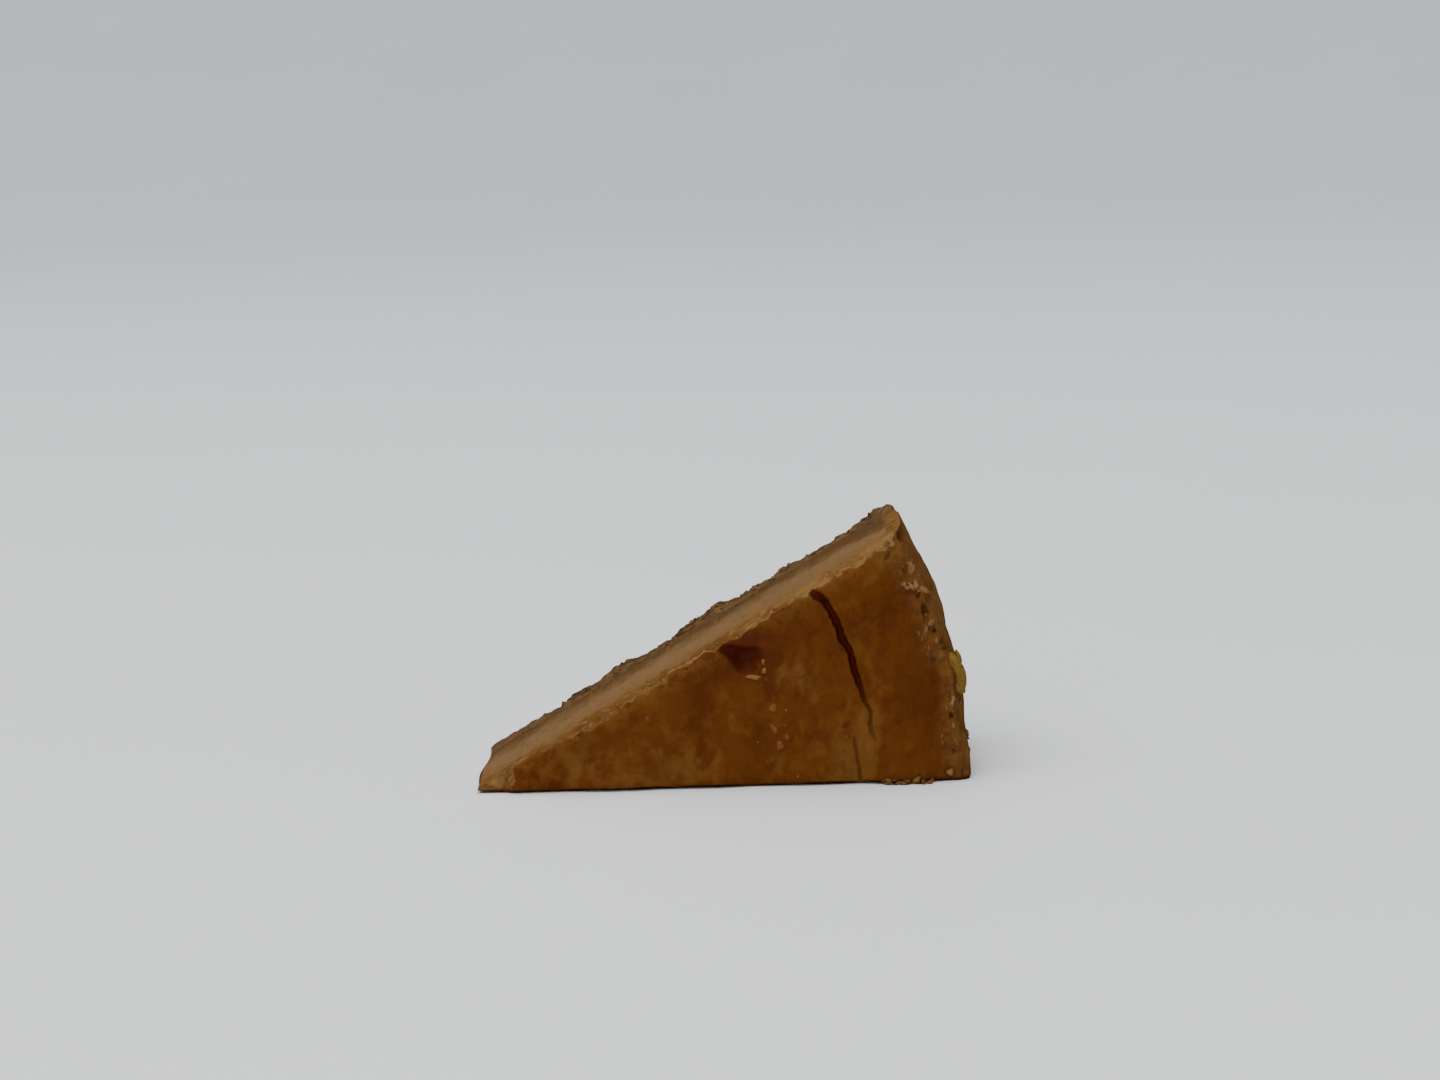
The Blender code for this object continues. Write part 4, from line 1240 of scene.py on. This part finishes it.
class CheesecakeCrumbs(bpy.types.Operator):
    """Make the flakes and the chunk at the rim, the crumbs on the browned top and along the torn edge"""

    bl_idname = "cheesecake.crumbs"
    bl_label = "Flakes and crumbs"

    def execute(self, context):
        form = context.scene.cheesecake_form
        tones = context.scene.cheesecake_tones
        pale = crumb_material("pale_crumb", tones.pale, tones.golden)
        keep(self.flakes(form), crumb_material("tan_crumb", tones.flake, tones.golden))
        keep(self.rim_crumbs(form), crumb_material("rim_crumb", tones.golden, tones.side_dark))
        keep(self.chunk(), crumb_material("olive_crumb", tones.chunk, tones.golden_dark))
        keep(self.skin_crumbs(form), pale)
        keep(self.foot_crumbs(), crumb_material("golden_crumb", tones.golden, tones.golden_dark))
        keep(self.edge_crumbs(form), pale)
        return {"FINISHED"}

    def flakes(self, form):
        """Torn flakes of skin that stand out of the rim, each a cluster of thin scraps on the surface."""
        table = lump_table(RIM_FLAKES)
        table[:, 1] = face_points(table[:, 0], table[:, 2], form)[:, 1] - TOP_Y
        scraps = clusters(table, 5, 0.6, 0.75, SEEDS["rim_flakes"])
        return lumps("rim_flakes", scraps, 0.5, (14, 10))

    def rim_crumbs(self, form):
        """Small flakes all along the worn rim."""
        draw = np.random.default_rng(SEEDS["rim_crumbs"])
        count = form.rim_crumbs
        round_corner = draw.random(count) < 0.45
        along = np.where(round_corner, 1.0, draw.uniform(0.965, 1.0, count))
        across = np.where(round_corner, draw.uniform(0.0, 0.12, count), 0.0)
        middles = filling_surface(along, across, draw.uniform(0.08, 0.97, count), form)[0]
        half = crumb_sizes(draw, count, 0.55) * (0.8, 0.5, 1.6)
        tilts = turns(*draw.uniform(-0.5, 0.5, (3, count)))
        return uneven_balls("rim_crumbs", middles, half, tilts, 0.7, (10, 7))

    def chunk(self):
        """The lump of olive gold crumb that hangs on the rim: soft lumps with a few grains on them."""
        table = lump_table(CHUNK)
        grown = clusters(table, 5, 0.75, 0.42, SEEDS["rim_chunk"])
        return lumps("rim_chunk", np.concatenate([table, grown]), 0.22, (30, 20))

    def skin_crumbs(self, form):
        """Pale crumbs on the browned top: those that show by place, and a seeded scatter of smaller ones."""
        draw = np.random.default_rng(SEEDS["skin_crumbs"])
        count = form.skin_crumbs
        trail = draw.random(count) < 0.8
        x = np.where(trail, draw.normal(71.0, 2.6, count), draw.uniform(14.0, 104.0, count))
        z = np.where(trail, draw.normal(15.0, 7.0, count), draw.random(count) * 0.55 * x)
        fits = (z > 0.8) & (z < 0.55 * x - 0.6)
        small = draw.uniform(0.10, 0.24, fits.sum())
        tall = small * draw.uniform(0.6, 1.4, fits.sum())
        scatter = np.stack([x[fits], z[fits], small, tall, draw.uniform(0.0, pi, fits.sum())], axis=1)
        shown = np.array(FACE_CRUMBS)
        shown[:, 4] = np.radians(shown[:, 4])
        x, z, half_x, half_z, tilt = np.concatenate([shown, scatter]).T
        sizes = np.stack([half_x, 0.6 * np.minimum(half_x, half_z), half_z], axis=1)
        tilts = turns(0.0 * tilt, tilt, 0.0 * tilt)
        return uneven_balls("skin_crumbs", face_points(x, z, form), sizes, tilts, 0.5)

    def foot_crumbs(self):
        """Crumbs squeezed out at the foot of the browned top."""
        table = np.array(FOOT_CRUMBS)
        half = table[:, 2:]
        rows = np.column_stack([table[:, :2], 0.7 * half[:, 2], half, np.zeros(len(table))])
        squeezed = clusters(rows, 9, 1.1, 0.55, SEEDS["foot_crumbs"])
        return lumps("foot_crumbs", squeezed, 0.5, (12, 8))

    def edge_crumbs(self, form):
        """Grains of golden crumb along the torn edge of the upper cut."""
        draw = np.random.default_rng(SEEDS["torn_edge_crumbs"])
        count = form.edge_crumbs
        along = draw.uniform(0.03, 0.995, count) ** 0.8
        across = np.clip(np.abs(draw.normal(0.0, 0.07, count)), 0.0, 0.22)
        middles = filling_surface(along, across, np.ones(count), form)[0] - (0.0, 0.0, 0.15)
        half = crumb_sizes(draw, count, 0.6)
        return uneven_balls("torn_edge_crumbs", middles, half, spins(draw, count), 0.55, (9, 6))


class CheesecakeStudio(bpy.types.Operator):
    """Make the pale floor, the soft lights and the camera"""

    bl_idname = "cheesecake.studio"
    bl_label = "Studio"

    def execute(self, context):
        stage = context.scene.cheesecake_stage
        self.floor(tuple(stage.floor))
        self.light("key_light", stage.key, *KEY_LIGHT)
        self.light("front_light", stage.front, *FRONT_LIGHT)
        world = bpy.data.worlds.new("studio_world")
        world.use_nodes = True
        background = world.node_tree.nodes["Background"]
        background.inputs["Color"].default_value = WORLD_COLOUR
        background.inputs["Strength"].default_value = stage.around
        context.scene.world = world
        context.scene.camera = self.camera()
        return {"FINISHED"}

    def floor(self, pale):
        """A round floor whose rim curves up into a wall all round, so that no view shows an edge.

        Its profile is flat to the middle of its radius, then rises as a quarter of an ellipse.
        """
        around = 2.0 * pi * np.arange(96) / 96
        climb = np.linspace(0.0, 0.5 * pi, 25)
        radii = np.concatenate([[0.6, 1.2, 1.8], FLOOR_FLAT + (FLOOR_REACH - FLOOR_FLAT) * np.sin(climb)])
        heights = np.concatenate([[0.0, 0.0, 0.0], WALL_HEIGHT * (1.0 - np.cos(climb))])
        radius, angle = np.meshgrid(radii, around, indexing="ij")
        height = np.broadcast_to(heights[:, None], radius.shape)
        rings = np.stack([radius * np.cos(angle), radius * np.sin(angle), height], axis=-1)
        numbers = np.arange(radius.size).reshape(radius.shape)
        faces = squares(np.concatenate([numbers, numbers[:, :1]], axis=1))
        mesh = bpy.data.meshes.new("floor")
        mesh.from_pydata(rings.reshape(-1, 3).tolist(), [], [numbers[0].tolist(), *faces.tolist()])
        mesh.shade_smooth()
        mesh.materials.append(floor_material(pale))
        floor = placed("floor", mesh)

    def light(self, name, power, size, place, aim):
        """A square area light that looks at a point."""
        data = bpy.data.lights.new(name, "AREA")
        data.shape = "SQUARE"
        data.size = size
        data.energy = power
        turn = (Vector(place) - Vector(aim)).to_track_quat("Z", "Y").to_matrix().to_4x4()
        placed(name, data).matrix_world = Matrix.Translation(place) @ turn

    def camera(self):
        """The photograph's own view: level with the slice, a little above it and slightly turned."""
        data = bpy.data.cameras.new("photo_view")
        data.sensor_width = CAMERA_SENSOR
        data.lens = CAMERA_LENS
        camera = placed("photo_view", data)
        camera.matrix_world = Matrix.Translation((Vector(CAMERA_PLACE) + Vector((TIP_X, TOP_Y, 0.0))) * MM)
        for angle, axis in ((-CAMERA_YAW, "Z"), (pi / 2 - CAMERA_PITCH, "X"), (CAMERA_ROLL, "Z")):
            camera.matrix_world = camera.matrix_world @ Matrix.Rotation(angle, 4, axis)
        return camera


class CheesecakePanel(bpy.types.Panel):
    """Lists the slice's sizes, colours and steps"""

    bl_idname = "VIEW3D_PT_cheesecake"
    bl_label = "Date cheesecake"
    bl_space_type = "VIEW_3D"
    bl_region_type = "UI"
    bl_category = "Cheesecake"

    def draw(self, context):
        scene = context.scene
        for group in (scene.cheesecake_form, scene.cheesecake_tones, scene.cheesecake_stage):
            for key in group.bl_rna.properties.keys():
                if key not in ("rna_type", "name"):
                    self.layout.prop(group, key)
        for operator in OPERATORS:
            self.layout.operator(operator.bl_idname)


OPERATORS = (CheesecakeFilling, CheesecakeBase, CheesecakeCrumbs, CheesecakeStudio)
GROUPS = {
    "cheesecake_form": CheesecakeForm,
    "cheesecake_tones": CheesecakeTones,
    "cheesecake_stage": CheesecakeStage,
}


def register():
    """Registers the classes and gives the scene its settings."""
    for item in (*GROUPS.values(), *OPERATORS, CheesecakePanel):
        bpy.utils.register_class(item)
    for key, group in GROUPS.items():
        setattr(bpy.types.Scene, key, PointerProperty(type=group))


def unregister():
    """Takes the settings and the classes away again."""
    for key in GROUPS:
        delattr(bpy.types.Scene, key)
    for item in (*GROUPS.values(), *OPERATORS, CheesecakePanel):
        bpy.utils.unregister_class(item)


def main():
    """Makes the pieces and the stage."""
    register()
    bpy.ops.cheesecake.filling()
    bpy.ops.cheesecake.base()
    bpy.ops.cheesecake.crumbs()
    bpy.ops.cheesecake.studio()


if __name__ == "__main__":
    main()
